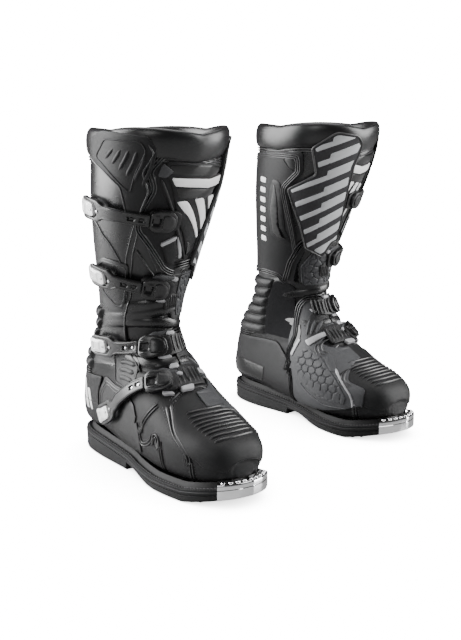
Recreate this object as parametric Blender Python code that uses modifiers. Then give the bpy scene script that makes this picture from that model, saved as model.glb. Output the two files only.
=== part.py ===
# A pair of motocross riding boots, built as separate pieces around one lofted boot form.
# Units are metres. +Z is up. Each boot is modelled in its own frame: x runs from heel to toe,
# y towards the inner side of the leg, z up from the ground. The left boot is the mirror of the right.
import math

import bmesh
import bpy
import numpy as np
from mathutils import Matrix, Vector

MM = 0.001

# ---------------------------------------------------------------- driving sizes (millimetres)
# Sections of the boot form, from toe to rim: front/top point and back/bottom point (x, z),
# half width, and the roundness exponents of the front and the back half of the section.
FRONT = [(289, 46), (281, 65), (263, 77), (235, 86), (208, 99), (184, 116), (167, 134), (156, 150),
         (150, 168), (149, 188), (152, 212), (160, 242), (172, 278), (185, 315), (199, 347), (211, 382)]
BACK = [(289, 27), (274, 24), (251, 21), (223, 19), (190, 18), (155, 20), (111, 25), (60, 29),
        (4, 34), (1, 70), (14, 109), (40, 150), (49, 200), (53, 258), (55, 315), (62, 394)]
HALF = [14, 33, 43, 49, 51, 49, 46, 41, 38, 39, 41, 44, 52, 62, 68, 70]
ROUND_FRONT = [2.6, 2.6, 2.5, 2.4, 2.4, 2.4, 2.4, 2.4, 2.4, 2.3, 2.3, 2.3, 2.3, 2.3, 2.3, 2.3]
ROUND_BACK = [2.4, 3.0, 4.5, 4.5, 4.5, 4.5, 4.5, 3.6, 2.8, 2.5, 2.4, 2.3, 2.3, 2.3, 2.3, 2.3]
RIM_SIDE_RISE = 9.0

# Sole outline stations: x, inner half width, outer half width.
SOLE = [(-6, 1, 1), (-3, 14, 14), (8, 26, 26), (28, 35, 35), (60, 39, 40), (95, 38, 42),
        (125, 37, 44), (148, 40, 49), (173, 47, 54), (197, 53, 56), (223, 56, 55), (249, 53, 51),
        (271, 43, 42), (287, 29, 28), (295, 17, 16), (299, 1, 1)]
HEEL_FRONT = 120.0
SOLE_BOTTOM = [(-6, 1.5), (-2, 0), (120, 0), (122, 8), (144, 7), (178, 1), (192, 0), (240, 0), (299, 12)]
SOLE_TOP = [(-6, 23), (60, 22), (110, 18), (145, 14), (192, 12), (240, 13), (299, 22)]
LAYER_GAP = 0.4
TOE_PLATE_START = 281.0

WALL = 2.8              # thickness of the leather shell
FOOT_TOP = (119.0, 15.0)    # upper edge of the foot: mean height, rise towards the front
LEG_LOW = (195.0, 5.0)      # lower edge of the leg: mean height, rise towards the front
ANKLE_AXIS = (88.0, 0.0, 112.0)
FOLDS = 6               # folds of the rear gaiter

# Straps, from the front holder backwards over the outer side:
# (front angle, front height, rear angle, rear height); angles in degrees from the front.
STRAPS = {
    "upper": (-13, 302, -118, 315),
    "calf": (-10, 221, -118, 237),
    "ankle": (-12, 153, -104, 145),
}
# The instep strap runs by section number instead: (angle, section) at the front and at the rear.
INSTEP_STRAP = (-22, 5.15, -112, 7.2)
HOLDER_LENGTH = 24.0
LEVER_LENGTH = 28.0
HINGE_GAP = 2.4
STRAP_LIFT = 6.6
STRAP_THICK = 3.0

# Placing of the pair: heel point and heading of each boot in the shared frame.
RIGHT_PLACE = (-0.197649, 0.008548, -50.0)
LEFT_PLACE = (-0.005649, 0.218548, -47.0)

COLLECTION = "riding_boots"


# ---------------------------------------------------------------- boot form
def curve(values, u):
    """Smooth curve through evenly spaced values, read at parameter u (arrays allowed)."""
    v = np.asarray(values, float)
    u = np.asarray(u, float)
    n = len(v)
    i = np.clip(np.floor(u).astype(int), 0, n - 2)
    f = u - i
    a, b = v[i], v[i + 1]
    before = np.where(i > 0, v[np.maximum(i - 1, 0)], 2 * a - b)
    after = np.where(i < n - 2, v[np.minimum(i + 2, n - 1)], 2 * b - a)
    ma = (b - before) / 2
    mb = (after - a) / 2
    return ((2 * f**3 - 3 * f**2 + 1) * a + (f**3 - 2 * f**2 + f) * ma
            + (-2 * f**3 + 3 * f**2) * b + (f**3 - f**2) * mb)


def form(t, psi):
    """Point on the bare form: section number t, angle psi (0 = front/top, + = inner side)."""
    t, psi = np.broadcast_arrays(np.asarray(t, float), np.asarray(psi, float))
    fx, fz = curve([p[0] for p in FRONT], t), curve([p[1] for p in FRONT], t)
    bx, bz = curve([p[0] for p in BACK], t), curve([p[1] for p in BACK], t)
    c, s = np.cos(psi), np.sin(psi)
    n = np.where(c > 0, curve(ROUND_FRONT, t), curve(ROUND_BACK, t))
    cc = np.sign(c) * np.abs(c) ** (2 / n)
    ss = np.sign(s) * np.abs(s) ** (2 / n)
    rise = np.clip((t - 12) / 3, 0, 1.2) ** 2 * RIM_SIDE_RISE * np.abs(ss)
    x = (fx + bx) / 2 + (fx - bx) / 2 * cc
    z = (fz + bz) / 2 + (fz - bz) / 2 * cc + rise
    return np.stack([x, curve(HALF, t) * ss, z], -1)


def skin(t, psi, lift=0.0):
    """Point at a distance outside the form, measured along its normal."""
    e = 0.02
    p = form(t, psi)
    along = form(t + e, psi) - form(t - e, psi)
    around = form(t, psi + e) - form(t, psi - e)
    n = np.cross(around, along)
    n /= np.linalg.norm(n, axis=-1, keepdims=True) + 1e-12
    centre = (form(t, 0 * psi) + form(t, 0 * psi + math.pi)) / 2
    flip = np.sign(np.sum(n * (p - centre), -1, keepdims=True))
    return p + n * flip * np.asarray(lift)[..., None], n * flip


def at_height(psi, z):
    """Section number where the form passes height z at angle psi."""
    psi, z = np.broadcast_arrays(np.asarray(psi, float), np.asarray(z, float))
    lo, hi = np.full(psi.shape, 4.0), np.full(psi.shape, 15.4)
    for _ in range(34):
        mid = (lo + hi) / 2
        low = form(mid, psi)[..., 2] < z
        lo, hi = np.where(low, mid, lo), np.where(low, hi, mid)
    return (lo + hi) / 2


def level(pair, psi):
    return pair[0] + pair[1] * np.cos(psi)


# ---------------------------------------------------------------- making objects
for old in list(bpy.data.objects):
    bpy.data.objects.remove(old, do_unlink=True)

scene = bpy.context.scene
home = bpy.data.collections.new(COLLECTION)
scene.collection.children.link(home)


def material(name, colour, rough, metal=0.0):
    m = bpy.data.materials.new(name)
    m.use_nodes = True
    b = m.node_tree.nodes["Principled BSDF"]
    b.inputs["Base Color"].default_value = (*colour, 1)
    b.inputs["Roughness"].default_value = rough
    b.inputs["Metallic"].default_value = metal
    m.diffuse_color = (*colour, 1)
    return m


MAT = {
    "sole_rubber": material("sole_rubber", (0.020, 0.020, 0.022), 0.75),
    "guard_rubber": material("guard_rubber", (0.075, 0.076, 0.080), 0.62),
    "black_leather": material("black_leather", (0.017, 0.017, 0.018), 0.42),
    "matte_plastic": material("matte_plastic", (0.030, 0.030, 0.032), 0.55),
    "gloss_plastic": material("gloss_plastic", (0.010, 0.010, 0.011), 0.16),
    "lever_plastic": material("lever_plastic", (0.72, 0.72, 0.72), 0.35),
    "polished_metal": material("polished_metal", (0.82, 0.82, 0.83), 0.08, 1.0),
    "striped_fabric": material("striped_fabric", (0.16, 0.16, 0.165), 0.85),
    "lining_fabric": material("lining_fabric", (0.028, 0.028, 0.030), 0.92),
}

boots = {}
for side, place in (("right", RIGHT_PLACE), ("left", LEFT_PLACE)):
    empty = bpy.data.objects.new(side + "_boot", None)
    empty.location = (place[0], place[1], 0)
    empty.rotation_euler = (0, 0, math.radians(place[2]))
    empty.scale = (1, 1 if side == "right" else -1, 1)
    home.objects.link(empty)
    boots[side] = empty


def add(name, points, faces, mat, thickness=0.0, origin=(0, 0, 0), bevel=0.0, smooth=True):
    """One piece for each boot: a lofted sheet or body, with an optional solid thickness."""
    for side, empty in boots.items():
        mesh = bpy.data.meshes.new(side + "_" + name)
        shifted = (np.asarray(points, float) - np.asarray(origin, float)) * MM
        mesh.from_pydata(shifted.tolist(), [], faces)
        bm = bmesh.new()
        bm.from_mesh(mesh)
        bmesh.ops.remove_doubles(bm, verts=bm.verts, dist=1e-6)
        if not thickness:
            bmesh.ops.recalc_face_normals(bm, faces=bm.faces)
        bm.to_mesh(mesh)
        bm.free()
        obj = bpy.data.objects.new(side + "_" + name, mesh)
        obj.location = [v * MM for v in origin]
        obj.parent = empty
        home.objects.link(obj)
        mesh.materials.append(MAT[mat])
        if thickness:
            m = obj.modifiers.new("thickness", "SOLIDIFY")
            m.thickness = thickness * MM
            m.offset = 1
        if bevel:
            m = obj.modifiers.new("edges", "BEVEL")
            m.width = bevel * MM
            m.segments = 1
            m.limit_method = "ANGLE"
            m.angle_limit = math.radians(50)
        for p in mesh.polygons:
            p.use_smooth = smooth


def grid_faces(rows, cols, cyclic=False):
    faces = []
    for i in range(rows - 1):
        for j in range(cols if cyclic else cols - 1):
            k = (j + 1) % cols
            faces.append((i * cols + j, i * cols + k, (i + 1) * cols + k, (i + 1) * cols + j))
    return faces


def facing_out(points, faces, normals):
    """Turn the sheet so that its faces look along the given outward normals."""
    a, b, c = faces[0][:3]
    n = np.cross(points[b] - points[a], points[c] - points[a])
    return faces if np.dot(n, normals[a]) > 0 else [f[::-1] for f in faces]


def sheet(name, t, psi, lift, thickness, mat, cyclic=False, bevel=0.0, origin=(0, 0, 0)):
    """A panel that follows the form: grids of section numbers and angles, and its inner lift."""
    p, n = skin(t, psi, np.broadcast_to(lift, t.shape))
    rows, cols = t.shape
    pts = p.reshape(-1, 3)
    faces = facing_out(pts, grid_faces(rows, cols, cyclic), n.reshape(-1, 3))
    add(name, pts, faces, mat, thickness, origin, bevel)


def angles(a, b, count):
    return np.radians(np.linspace(a, b, count))


def band(name, a, b, count, low, high, rows, lift, thickness, mat, **more):
    """A panel between two heights; low and high are functions of the angle in degrees."""
    psi = np.tile(angles(a, b, count), (rows, 1))
    k = np.linspace(0, 1, rows)[:, None]
    deg = np.degrees(psi)
    z = low(deg) * (1 - k) + high(deg) * k
    sheet(name, at_height(psi, z), psi, lift, thickness, mat, **more)


def steps(*pairs):
    xs = [p[0] for p in pairs]
    ys = [p[1] for p in pairs]
    return lambda deg: np.interp(deg, xs, ys)


def along(pairs, x):
    return np.interp(x, [p[0] for p in pairs], [p[1] for p in pairs])


# ---------------------------------------------------------------- sole unit
def sole_width(x):
    """Inner and outer half width of the sole at x."""
    u = np.linspace(0, len(SOLE) - 1, 400)
    line = curve([s[0] for s in SOLE], u)
    return [np.interp(x, line, curve([s[k] for s in SOLE], u)) for k in (1, 2)]


def sole_layer(name, bottom, top, inset, mat):
    u = np.linspace(0, len(SOLE) - 1, 31)
    xs = np.sort(np.concatenate([curve([s[0] for s in SOLE], u), [HEEL_FRONT, HEEL_FRONT + 2]]))
    mid = 146.0
    x = mid + (xs - mid) * (1 - inset / 152)
    pts, rows = [], len(xs)
    for k in range(rows):
        inner, outer = (max(float(w) - inset, 0.6) for w in sole_width(xs[k]))
        zb, zt = float(bottom(xs[k])), float(top(xs[k]))
        edge = min(2.0, inner * 0.4)
        pts += [(x[k], inner - edge, zb), (x[k], inner, zb + min(2, (zt - zb) / 3)), (x[k], inner, zt),
                (x[k], -outer, zt), (x[k], -outer, zb + min(2, (zt - zb) / 3)), (x[k], -outer + edge, zb)]
    faces = grid_faces(rows, 6, True)
    faces.append(tuple(range(5, -1, -1)))
    faces.append(tuple(range((rows - 1) * 6, rows * 6)))
    add(name, np.array(pts), faces, mat, smooth=False)


def underside(x):
    """Height of the underside of the leather shell at x."""
    xs = [p[0] for p in BACK[:9]][::-1]
    zs = [p[1] for p in BACK[:9]][::-1]
    return np.interp(x, xs, zs)


sole_layer("outsole", lambda x: along(SOLE_BOTTOM, x), lambda x: along(SOLE_TOP, x), 0.0, "sole_rubber")
sole_layer("midsole", lambda x: along(SOLE_TOP, x) + LAYER_GAP,
           lambda x: max(underside(x) - 2.1, along(SOLE_TOP, x) + 3.5), 1.0, "sole_rubber")

# Polished plate around the front of the sole.
plate_x = np.array([TOE_PLATE_START, 284.5, 288, 291.5, 294.5])
left_side = [(x, sole_width(x)[0]) for x in plate_x]
right_side = [(x, -sole_width(x)[1]) for x in plate_x]
rim = np.array(left_side + [(298.4, 8), (299.6, 0), (298.4, -8)] + right_side[::-1])
step = np.gradient(rim, axis=0)
out = np.stack([-step[:, 1], step[:, 0]], -1)
out /= np.linalg.norm(out, axis=1, keepdims=True)
out *= np.sign(np.sum(out * (rim - [250, 0]), 1))[:, None]
rim = rim + out * 0.9
low_z = along(SOLE_BOTTOM, rim[:, 0]) + 1.5
high_z = along(SOLE_TOP, rim[:, 0]) + 9.0
plate = np.concatenate([np.c_[rim, low_z], np.c_[rim, (low_z + high_z) / 2], np.c_[rim, high_z]])
plate_faces = facing_out(plate, grid_faces(3, len(rim)), np.c_[np.tile(out, (3, 1)), np.zeros(len(rim) * 3)])
add("toe_plate", plate, plate_faces, "polished_metal", 2.0, bevel=0.4)

# Footbed inside the foot.
bed_x = np.linspace(32, 258, 13)
bed_w = 0.58 * np.interp(bed_x, [0, 20, 60, 110, 157, 190, 223, 251, 274],
                         [20, 34, 40, 42, 46, 48, 46, 39, 27])
bed_z = underside(bed_x) + 7.4
bed = np.concatenate([[(x, w * f, z) for f in (-1, 0, 1)] for x, w, z in zip(bed_x, bed_w, bed_z)])
bed_faces = facing_out(bed, grid_faces(len(bed_x), 3), np.tile([0, 0, 1.0], (len(bed), 1)))
add("footbed", bed, bed_faces, "lining_fabric", 3.0)

# ---------------------------------------------------------------- foot
psi = np.radians(np.arange(0, 360, 12.0))
rows = 17
top_t = at_height(psi, level(FOOT_TOP, psi))
k = np.linspace(0, 1, rows)[:, None]
t = 0.0 + (top_t[None, :] - 0.0) * k
p, n = skin(t, np.tile(psi, (rows, 1)), np.zeros(t.shape) - WALL)
body = p.reshape(-1, 3)
# The first ring is closed by a point at the toe.
body = np.vstack([body, [[287.0, 0, 36]]])
faces = grid_faces(rows, len(psi), True)
faces += [(j, len(body) - 1, (j + 1) % len(psi)) for j in range(len(psi))]
normals = np.vstack([n.reshape(-1, 3), [[1, 0, 0]]])
good = facing_out(body, faces[200:], normals)
faces = faces if good == faces[200:] else [f[::-1] for f in faces]
add("foot_upper", body, faces, "black_leather", WALL)

t, psi2 = np.meshgrid(np.linspace(0.35, 4.3, 9), angles(-76, 76, 11), indexing="ij")
sheet("toe_cap", t, psi2, 0.8, 1.8, "matte_plastic")

band("heel_counter", 98, 262, 17, steps((98, 76), (118, 61), (135, 49), (158, 39), (202, 39), (225, 49),
     (242, 61), (262, 76)), steps((98, 108), (118, 102), (180, 97), (242, 102), (262, 108)), 6,
     0.8, 2.0, "matte_plastic")

t, psi2 = np.meshgrid(np.linspace(4.7, 8.1, 9), angles(58, 108, 6), indexing="ij")
sheet("inner_ankle_guard", t, psi2, 3.5, 2.4, "guard_rubber")

# ---------------------------------------------------------------- leg
ANKLE = dict(origin=ANKLE_AXIS)


def rim_z(deg):
    return form(np.full(np.shape(deg), 15.0), np.radians(deg))[..., 2]


leg_psi = np.tile(np.radians(np.arange(0, 360, 12.0)), (11, 1))
low_t = at_height(leg_psi[0], level(LEG_LOW, leg_psi[0]))
leg_t = low_t[None, :] + (14.85 - low_t[None, :]) * np.linspace(0, 1, 11)[:, None]
sheet("leg_shaft", leg_t, leg_psi, -WALL, WALL, "black_leather", cyclic=True, **ANKLE)

# Padded collar: a rounded ring around the top of the leg.
ring_psi = np.radians(np.arange(0, 360, 12.0))
profile = [(14.34, 0.8), (14.38, 2.2), (14.52, 3.6), (14.8, 3.6), (14.98, 2.4), (15.06, -1.2),
           (14.92, -1.6), (14.89, 0.8), (14.7, 0.8), (14.5, 0.8)]
collar = np.concatenate([skin(np.full(ring_psi.shape, a), ring_psi, np.full(ring_psi.shape, b))[0]
                         for a, b in profile])
collar_faces = grid_faces(len(profile), len(ring_psi), True)
m = len(ring_psi)
collar_faces += [((len(profile) - 1) * m + j, (len(profile) - 1) * m + (j + 1) % m, (j + 1) % m, j)
                 for j in range(m)]
add("collar", collar, collar_faces, "black_leather", origin=ANKLE_AXIS)

band("shin_guard", -50, 24, 12, steps((-50, 294), (-20, 247), (-8, 241), (24, 246)),
     steps((-50, 340), (0, 350), (24, 350)), 8, 1.0, 2.8, "matte_plastic", **ANKLE)
band("outer_calf_panel", -106, -38, 9, steps((-106, 370), (-70, 338), (-60, 308), (-38, 306)),
     lambda d: rim_z(d) - 6, 7, 4.4, 1.8, "matte_plastic", **ANKLE)
band("inner_calf_panel", 14, 73, 9, steps((14, 250), (44, 230), (73, 318)),
     lambda d: rim_z(d) - 5, 8, 4.4, 1.6, "striped_fabric", **ANKLE)
band("inner_shin_guard", -4, 44, 7, steps((-4, 203), (44, 201)),
     steps((-4, 238), (30, 240), (44, 226)), 5, 1.0, 2.4, "guard_rubber", **ANKLE)
band("rear_calf_panel", 76, 176, 11, steps((76, 244), (110, 206), (150, 197), (176, 195)),
     steps((76, 340), (110, 342), (150, 334), (176, 330)), 8, 1.0, 2.4, "matte_plastic", **ANKLE)

# ---------------------------------------------------------------- flexing ankle
cuff_psi = np.tile(np.radians(np.arange(0, 360, 12.0)), (7, 1))
low_t = at_height(cuff_psi[0], level(FOOT_TOP, cuff_psi[0]) + 1.5)
high_t = at_height(cuff_psi[0], level(LEG_LOW, cuff_psi[0]) - 1.5)
cuff_t = low_t[None, :] + (high_t - low_t)[None, :] * np.linspace(0, 1, 7)[:, None]
sheet("flex_cuff", cuff_t, cuff_psi, -WALL, WALL, "black_leather", cyclic=True)

gaiter_rows = FOLDS * 3 + 1
gaiter_psi = np.tile(angles(100, 250, 12), (gaiter_rows, 1))
gaiter_z = np.linspace(111, 186, gaiter_rows)[:, None] + 0 * gaiter_psi
wave = np.array([0.0, 2.6, 2.6] * FOLDS + [0.0])[:, None]
sheet("rear_gaiter", at_height(gaiter_psi, gaiter_z), gaiter_psi, 0.8 + wave, 1.8, "guard_rubber")


# ---------------------------------------------------------------- buckles
def strap_line(spec, count=60):
    """Points, normals and side vectors along one strap, with the length so far."""
    psi_s = np.radians(np.linspace(spec[0], spec[2], count))
    steps_s = np.linspace(spec[1], spec[3], count)
    t_s = steps_s if max(spec) < 20 else at_height(psi_s, steps_s)
    base, nrm = skin(t_s, psi_s, np.zeros(count))
    run = np.gradient(base, axis=0)
    run /= np.linalg.norm(run, axis=1, keepdims=True)
    up = np.cross(run, nrm)
    up /= np.linalg.norm(up, axis=1, keepdims=True)
    up *= np.sign(up[:, 2:3])
    nrm = np.cross(up, run)
    nrm *= np.sign(np.sum(nrm * (base - [90, 0, 0]) * [1, 1, 0], 1, keepdims=True))
    length = np.concatenate([[0], np.cumsum(np.linalg.norm(np.diff(base, axis=0), axis=1))])
    return base, nrm, up, length


def reading(line, s):
    base, nrm, up, length = line
    pick = lambda a: np.stack([np.interp(s, length, a[:, i]) for i in range(3)], -1)
    return pick(base), pick(nrm), pick(up)


def strip(name, line, s0, s1, widths, lift, thickness, mat, count, origin, bevel=0.0):
    s = np.linspace(s0, s1, count)
    base, nrm, up = reading(line, s)
    w = np.interp(np.linspace(0, 1, count), np.linspace(0, 1, len(widths)), widths) / 2
    centre = base + nrm * lift
    pts = np.stack([centre - up * w[:, None], centre, centre + up * w[:, None]], 1).reshape(-1, 3)
    faces = facing_out(pts, grid_faces(count, 3), np.repeat(nrm, 3, 0))
    add(name, pts, faces, mat, thickness, origin, bevel)


def strap_parts(spec):
    """Hinge points and axes of one strap and of its lever, in the boot's own frame."""
    line = strap_line(spec)
    total = line[3][-1]
    strap_end = total - LEVER_LENGTH - HINGE_GAP
    found = []
    for s, half in ((HOLDER_LENGTH + HINGE_GAP / 2, STRAP_THICK / 2),
                    (strap_end + HINGE_GAP / 2, STRAP_THICK / 2)):
        base, nrm, up = reading(line, np.array([s]))
        found.append((base[0] + nrm[0] * (STRAP_LIFT + half), up[0]))
    return line, total, strap_end, found


for label, spec in list(STRAPS.items()) + [("instep", INSTEP_STRAP)]:
    line, total, strap_end, hinges = strap_parts(spec)
    on_leg = label in ("upper", "calf")
    strip(label + "_holder", line, 0, HOLDER_LENGTH, [24, 27, 27, 24], 6.4, 4.6, "matte_plastic", 5,
          ANKLE_AXIS if on_leg else (0, 0, 0), 0.8)
    strip(label + "_strap", line, HOLDER_LENGTH + HINGE_GAP, strap_end, [15, 15, 15, 22, 24],
          STRAP_LIFT, STRAP_THICK, "matte_plastic", 9, tuple(hinges[0][0]), 0.5)
    strip(label + "_lever", line, strap_end + HINGE_GAP, total, [22, 22, 20, 16],
          STRAP_LIFT, 4.4, "lever_plastic", 5, tuple(hinges[1][0]), 0.8)
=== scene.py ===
import math

import bpy
import numpy as np
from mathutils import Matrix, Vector
from mathutils.geometry import delaunay_2d_cdt


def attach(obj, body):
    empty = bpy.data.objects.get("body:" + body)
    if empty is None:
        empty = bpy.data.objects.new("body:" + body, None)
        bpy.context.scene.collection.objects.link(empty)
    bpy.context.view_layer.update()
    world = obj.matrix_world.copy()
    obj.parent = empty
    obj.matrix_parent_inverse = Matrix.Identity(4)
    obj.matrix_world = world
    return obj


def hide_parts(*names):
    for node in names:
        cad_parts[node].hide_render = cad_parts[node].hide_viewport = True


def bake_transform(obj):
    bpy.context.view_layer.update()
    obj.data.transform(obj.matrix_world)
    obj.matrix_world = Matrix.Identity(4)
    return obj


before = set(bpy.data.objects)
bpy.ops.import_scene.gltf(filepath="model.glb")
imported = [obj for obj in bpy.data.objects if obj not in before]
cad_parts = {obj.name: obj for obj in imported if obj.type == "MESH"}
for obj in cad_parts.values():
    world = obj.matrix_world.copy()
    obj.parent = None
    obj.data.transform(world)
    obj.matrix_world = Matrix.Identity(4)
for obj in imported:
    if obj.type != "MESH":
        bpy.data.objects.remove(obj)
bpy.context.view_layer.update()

# ================================================================ boot form (millimetres)
# The boot's own frame: x from heel to toe, y to the inner side of the leg, z up.
FRONT = [(289, 46), (281, 65), (263, 77), (235, 86), (208, 99), (184, 116), (167, 134), (156, 150),
         (150, 168), (149, 188), (152, 212), (160, 242), (172, 278), (185, 315), (199, 347), (211, 382)]
BACK = [(289, 27), (274, 24), (251, 21), (223, 19), (190, 18), (155, 20), (111, 25), (60, 29),
        (4, 34), (1, 70), (14, 109), (40, 150), (49, 200), (53, 258), (55, 315), (62, 394)]
HALF = [14, 33, 43, 49, 51, 49, 46, 41, 38, 39, 41, 44, 52, 62, 68, 70]
ROUND_FRONT = [2.6, 2.6, 2.5, 2.4, 2.4, 2.4, 2.4, 2.4, 2.4, 2.3, 2.3, 2.3, 2.3, 2.3, 2.3, 2.3]
ROUND_BACK = [2.4, 3.0, 4.5, 4.5, 4.5, 4.5, 4.5, 3.6, 2.8, 2.5, 2.4, 2.3, 2.3, 2.3, 2.3, 2.3]
RIM_SIDE_RISE = 9.0
SOLE = [(-6, 1, 1), (-3, 14, 14), (8, 26, 26), (28, 35, 35), (60, 39, 40), (95, 38, 42),
        (125, 37, 44), (148, 40, 49), (173, 47, 54), (197, 53, 56), (223, 56, 55), (249, 53, 51),
        (271, 43, 42), (287, 29, 28), (295, 17, 16), (299, 1, 1)]
SOLE_BOTTOM = [(-6, 1.5), (-2, 0), (120, 0), (122, 8), (144, 7), (178, 1), (192, 0), (240, 0), (299, 12)]
SOLE_TOP = [(-6, 23), (60, 22), (110, 18), (145, 14), (192, 12), (240, 13), (299, 22)]
FOOT_TOP = (119.0, 15.0)
LEG_LOW = (195.0, 5.0)
CUFF_BEND = ((88, 0, 112), (118, 0, 196))      # where the bend starts and where it ends
WALL = 2.8
STRAPS = {
    "upper": (-13, 302, -118, 315),
    "calf": (-10, 221, -118, 237),
    "ankle": (-12, 153, -104, 145),
    "instep": (-22, 5.15, -112, 7.2),
}
HOLDER_LENGTH = 24.0
LEVER_LENGTH = 28.0
HINGE_GAP = 2.4
PLACES = {"right": (-0.197649, 0.008548, -50.0), "left": (-0.005649, 0.218548, -47.0)}


def curve(values, u):
    v = np.asarray(values, float)
    u = np.asarray(u, float)
    n = len(v)
    i = np.clip(np.floor(u).astype(int), 0, n - 2)
    f = u - i
    a, b = v[i], v[i + 1]
    before = np.where(i > 0, v[np.maximum(i - 1, 0)], 2 * a - b)
    after = np.where(i < n - 2, v[np.minimum(i + 2, n - 1)], 2 * b - a)
    ma = (b - before) / 2
    mb = (after - a) / 2
    return ((2 * f**3 - 3 * f**2 + 1) * a + (f**3 - 2 * f**2 + f) * ma
            + (-2 * f**3 + 3 * f**2) * b + (f**3 - f**2) * mb)


def form(t, psi):
    t, psi = np.broadcast_arrays(np.asarray(t, float), np.asarray(psi, float))
    fx, fz = curve([p[0] for p in FRONT], t), curve([p[1] for p in FRONT], t)
    bx, bz = curve([p[0] for p in BACK], t), curve([p[1] for p in BACK], t)
    c, s = np.cos(psi), np.sin(psi)
    n = np.where(c > 0, curve(ROUND_FRONT, t), curve(ROUND_BACK, t))
    cc = np.sign(c) * np.abs(c) ** (2 / n)
    ss = np.sign(s) * np.abs(s) ** (2 / n)
    rise = np.clip((t - 12) / 3, 0, 1.2) ** 2 * RIM_SIDE_RISE * np.abs(ss)
    return np.stack([(fx + bx) / 2 + (fx - bx) / 2 * cc, curve(HALF, t) * ss,
                     (fz + bz) / 2 + (fz - bz) / 2 * cc + rise], -1)


def skin(t, psi, lift=0.0):
    """Points at a distance outside the form, and the outward normals there."""
    t, psi = np.broadcast_arrays(np.asarray(t, float), np.asarray(psi, float))
    e = 0.03
    p = form(t, psi)
    n = np.cross(form(t, psi + e) - form(t, psi - e), form(t + e, psi) - form(t - e, psi))
    n /= np.linalg.norm(n, axis=-1, keepdims=True) + 1e-12
    centre = (form(t, 0 * psi) + form(t, 0 * psi + math.pi)) / 2
    n = n * np.sign(np.sum(n * (p - centre), -1, keepdims=True))
    return p + n * np.broadcast_to(np.asarray(lift, float), t.shape)[..., None], n


def find_height(psi, z):
    psi, z = np.broadcast_arrays(np.asarray(psi, float), np.asarray(z, float))
    lo, hi = np.full(psi.shape, 4.0), np.full(psi.shape, 15.4)
    for _ in range(22):
        mid = (lo + hi) / 2
        low = form(mid, psi)[..., 2] < z
        lo, hi = np.where(low, mid, lo), np.where(low, hi, mid)
    return (lo + hi) / 2


TABLE_Z = np.arange(20.0, 408.0, 1.5)
TABLE = find_height(np.radians(np.arange(0, 361, 1.0))[:, None], TABLE_Z[None, :])


def at_height(psi, z):
    """Section number where the form reaches a height, read from a fine table."""
    psi, z = np.broadcast_arrays(np.asarray(psi, float), np.asarray(z, float))
    a = np.degrees(np.mod(psi, 2 * math.pi))
    b = np.clip((z - TABLE_Z[0]) / 1.5, 0, len(TABLE_Z) - 1.001)
    i, j = np.minimum(a.astype(int), 359), b.astype(int)
    fa, fb = a - i, b - j
    return ((TABLE[i, j] * (1 - fb) + TABLE[i, j + 1] * fb) * (1 - fa)
            + (TABLE[i + 1, j] * (1 - fb) + TABLE[i + 1, j + 1] * fb) * fa)


def level(pair, psi):
    return pair[0] + pair[1] * np.cos(psi)


def along(pairs, x):
    return np.interp(x, [p[0] for p in pairs], [p[1] for p in pairs])


def smoothstep(a, b, x):
    k = np.clip((np.asarray(x, float) - a) / (b - a), 0, 1)
    return k * k * (3 - 2 * k)


# ================================================================ charts: flat drawings laid on the form
# A chart turns drawing coordinates in millimetres, and a lift, into points in the boot's frame.
DEG = 1.12      # drawing millimetres per degree round the leg


def leg(uv, lift):
    psi = np.radians(uv[:, 0] / DEG)
    return skin(at_height(psi, uv[:, 1]), psi, lift)[0]


IN_DEGREES = [leg]


def foot_tp(uv, lift):
    """Drawing x = 20 x section number, drawing y = angle in degrees."""
    return skin(uv[:, 0] / 20.0, np.radians(uv[:, 1]), lift)[0]


COARSE_T, COARSE_P = np.meshgrid(np.linspace(0.0, 11.5, 70), np.radians(np.linspace(2, 178, 60)),
                                 indexing="ij")
COARSE = form(COARSE_T, COARSE_P).reshape(-1, 3)
COARSE_T, COARSE_P = COARSE_T.ravel(), COARSE_P.ravel()


def solve_for(uv, measure, t_max, p_low, p_high, steps, margin):
    """Section and angle where two measured quantities equal uv (inner side)."""
    ok = (COARSE_T <= t_max) & (COARSE_P >= math.radians(p_low)) & (COARSE_P <= math.radians(p_high))
    base, bt, bp = measure(COARSE[ok]), COARSE_T[ok], COARSE_P[ok]
    near = np.concatenate([np.argmin(((c[:, None, :] - base[None]) ** 2).sum(-1), 1)
                           for c in np.array_split(uv, max(1, len(uv) // 200))])
    t, p = bt[near].copy(), bp[near].copy()
    e = 0.01
    for _ in range(steps):
        f0 = measure(form(t, p))
        r = uv - f0
        jt = (measure(form(t + e, p)) - f0) / e
        jp = (measure(form(t, p + e)) - f0) / e
        det = jt[:, 0] * jp[:, 1] - jt[:, 1] * jp[:, 0]
        det = np.where(np.abs(det) < 1e-3, 1e-3, det)
        dt = (r[:, 0] * jp[:, 1] - r[:, 1] * jp[:, 0]) / det
        dp = (jt[:, 0] * r[:, 1] - jt[:, 1] * r[:, 0]) / det
        t = np.clip(t + np.clip(dt, -0.4, 0.4), 0.0, t_max + 0.6)
        p = np.clip(p + np.clip(dp, -0.2, 0.2), margin, math.pi - margin)
    return t, p


def solve(uv, axes, t_max=11.5, p_low=2.0, p_high=178.0):
    """Section and angle where two of the form's coordinates equal uv (inner side)."""
    return solve_for(uv, lambda q: q[..., axes], t_max, p_low, p_high, 5, 0.01)


def inner(uv, lift):
    """Side drawing (x, z) on the inner side of the foot."""
    t, p = solve(uv, [0, 2])
    return skin(t, p, lift)[0]


def outer(uv, lift):
    t, p = solve(uv, [0, 2])
    return skin(t, -p, lift)[0]


def top(uv, lift):
    """Plan drawing (x, y) on the upper side of the foot."""
    s = np.where(uv[:, 1] < 0, -1.0, 1.0)
    q = np.stack([uv[:, 0], np.maximum(np.abs(uv[:, 1]), 0.4)], 1)
    t, p = solve(q, [0, 1], t_max=7.0, p_low=0.5, p_high=86.0)
    return skin(t, p * s, lift)[0]


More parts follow.
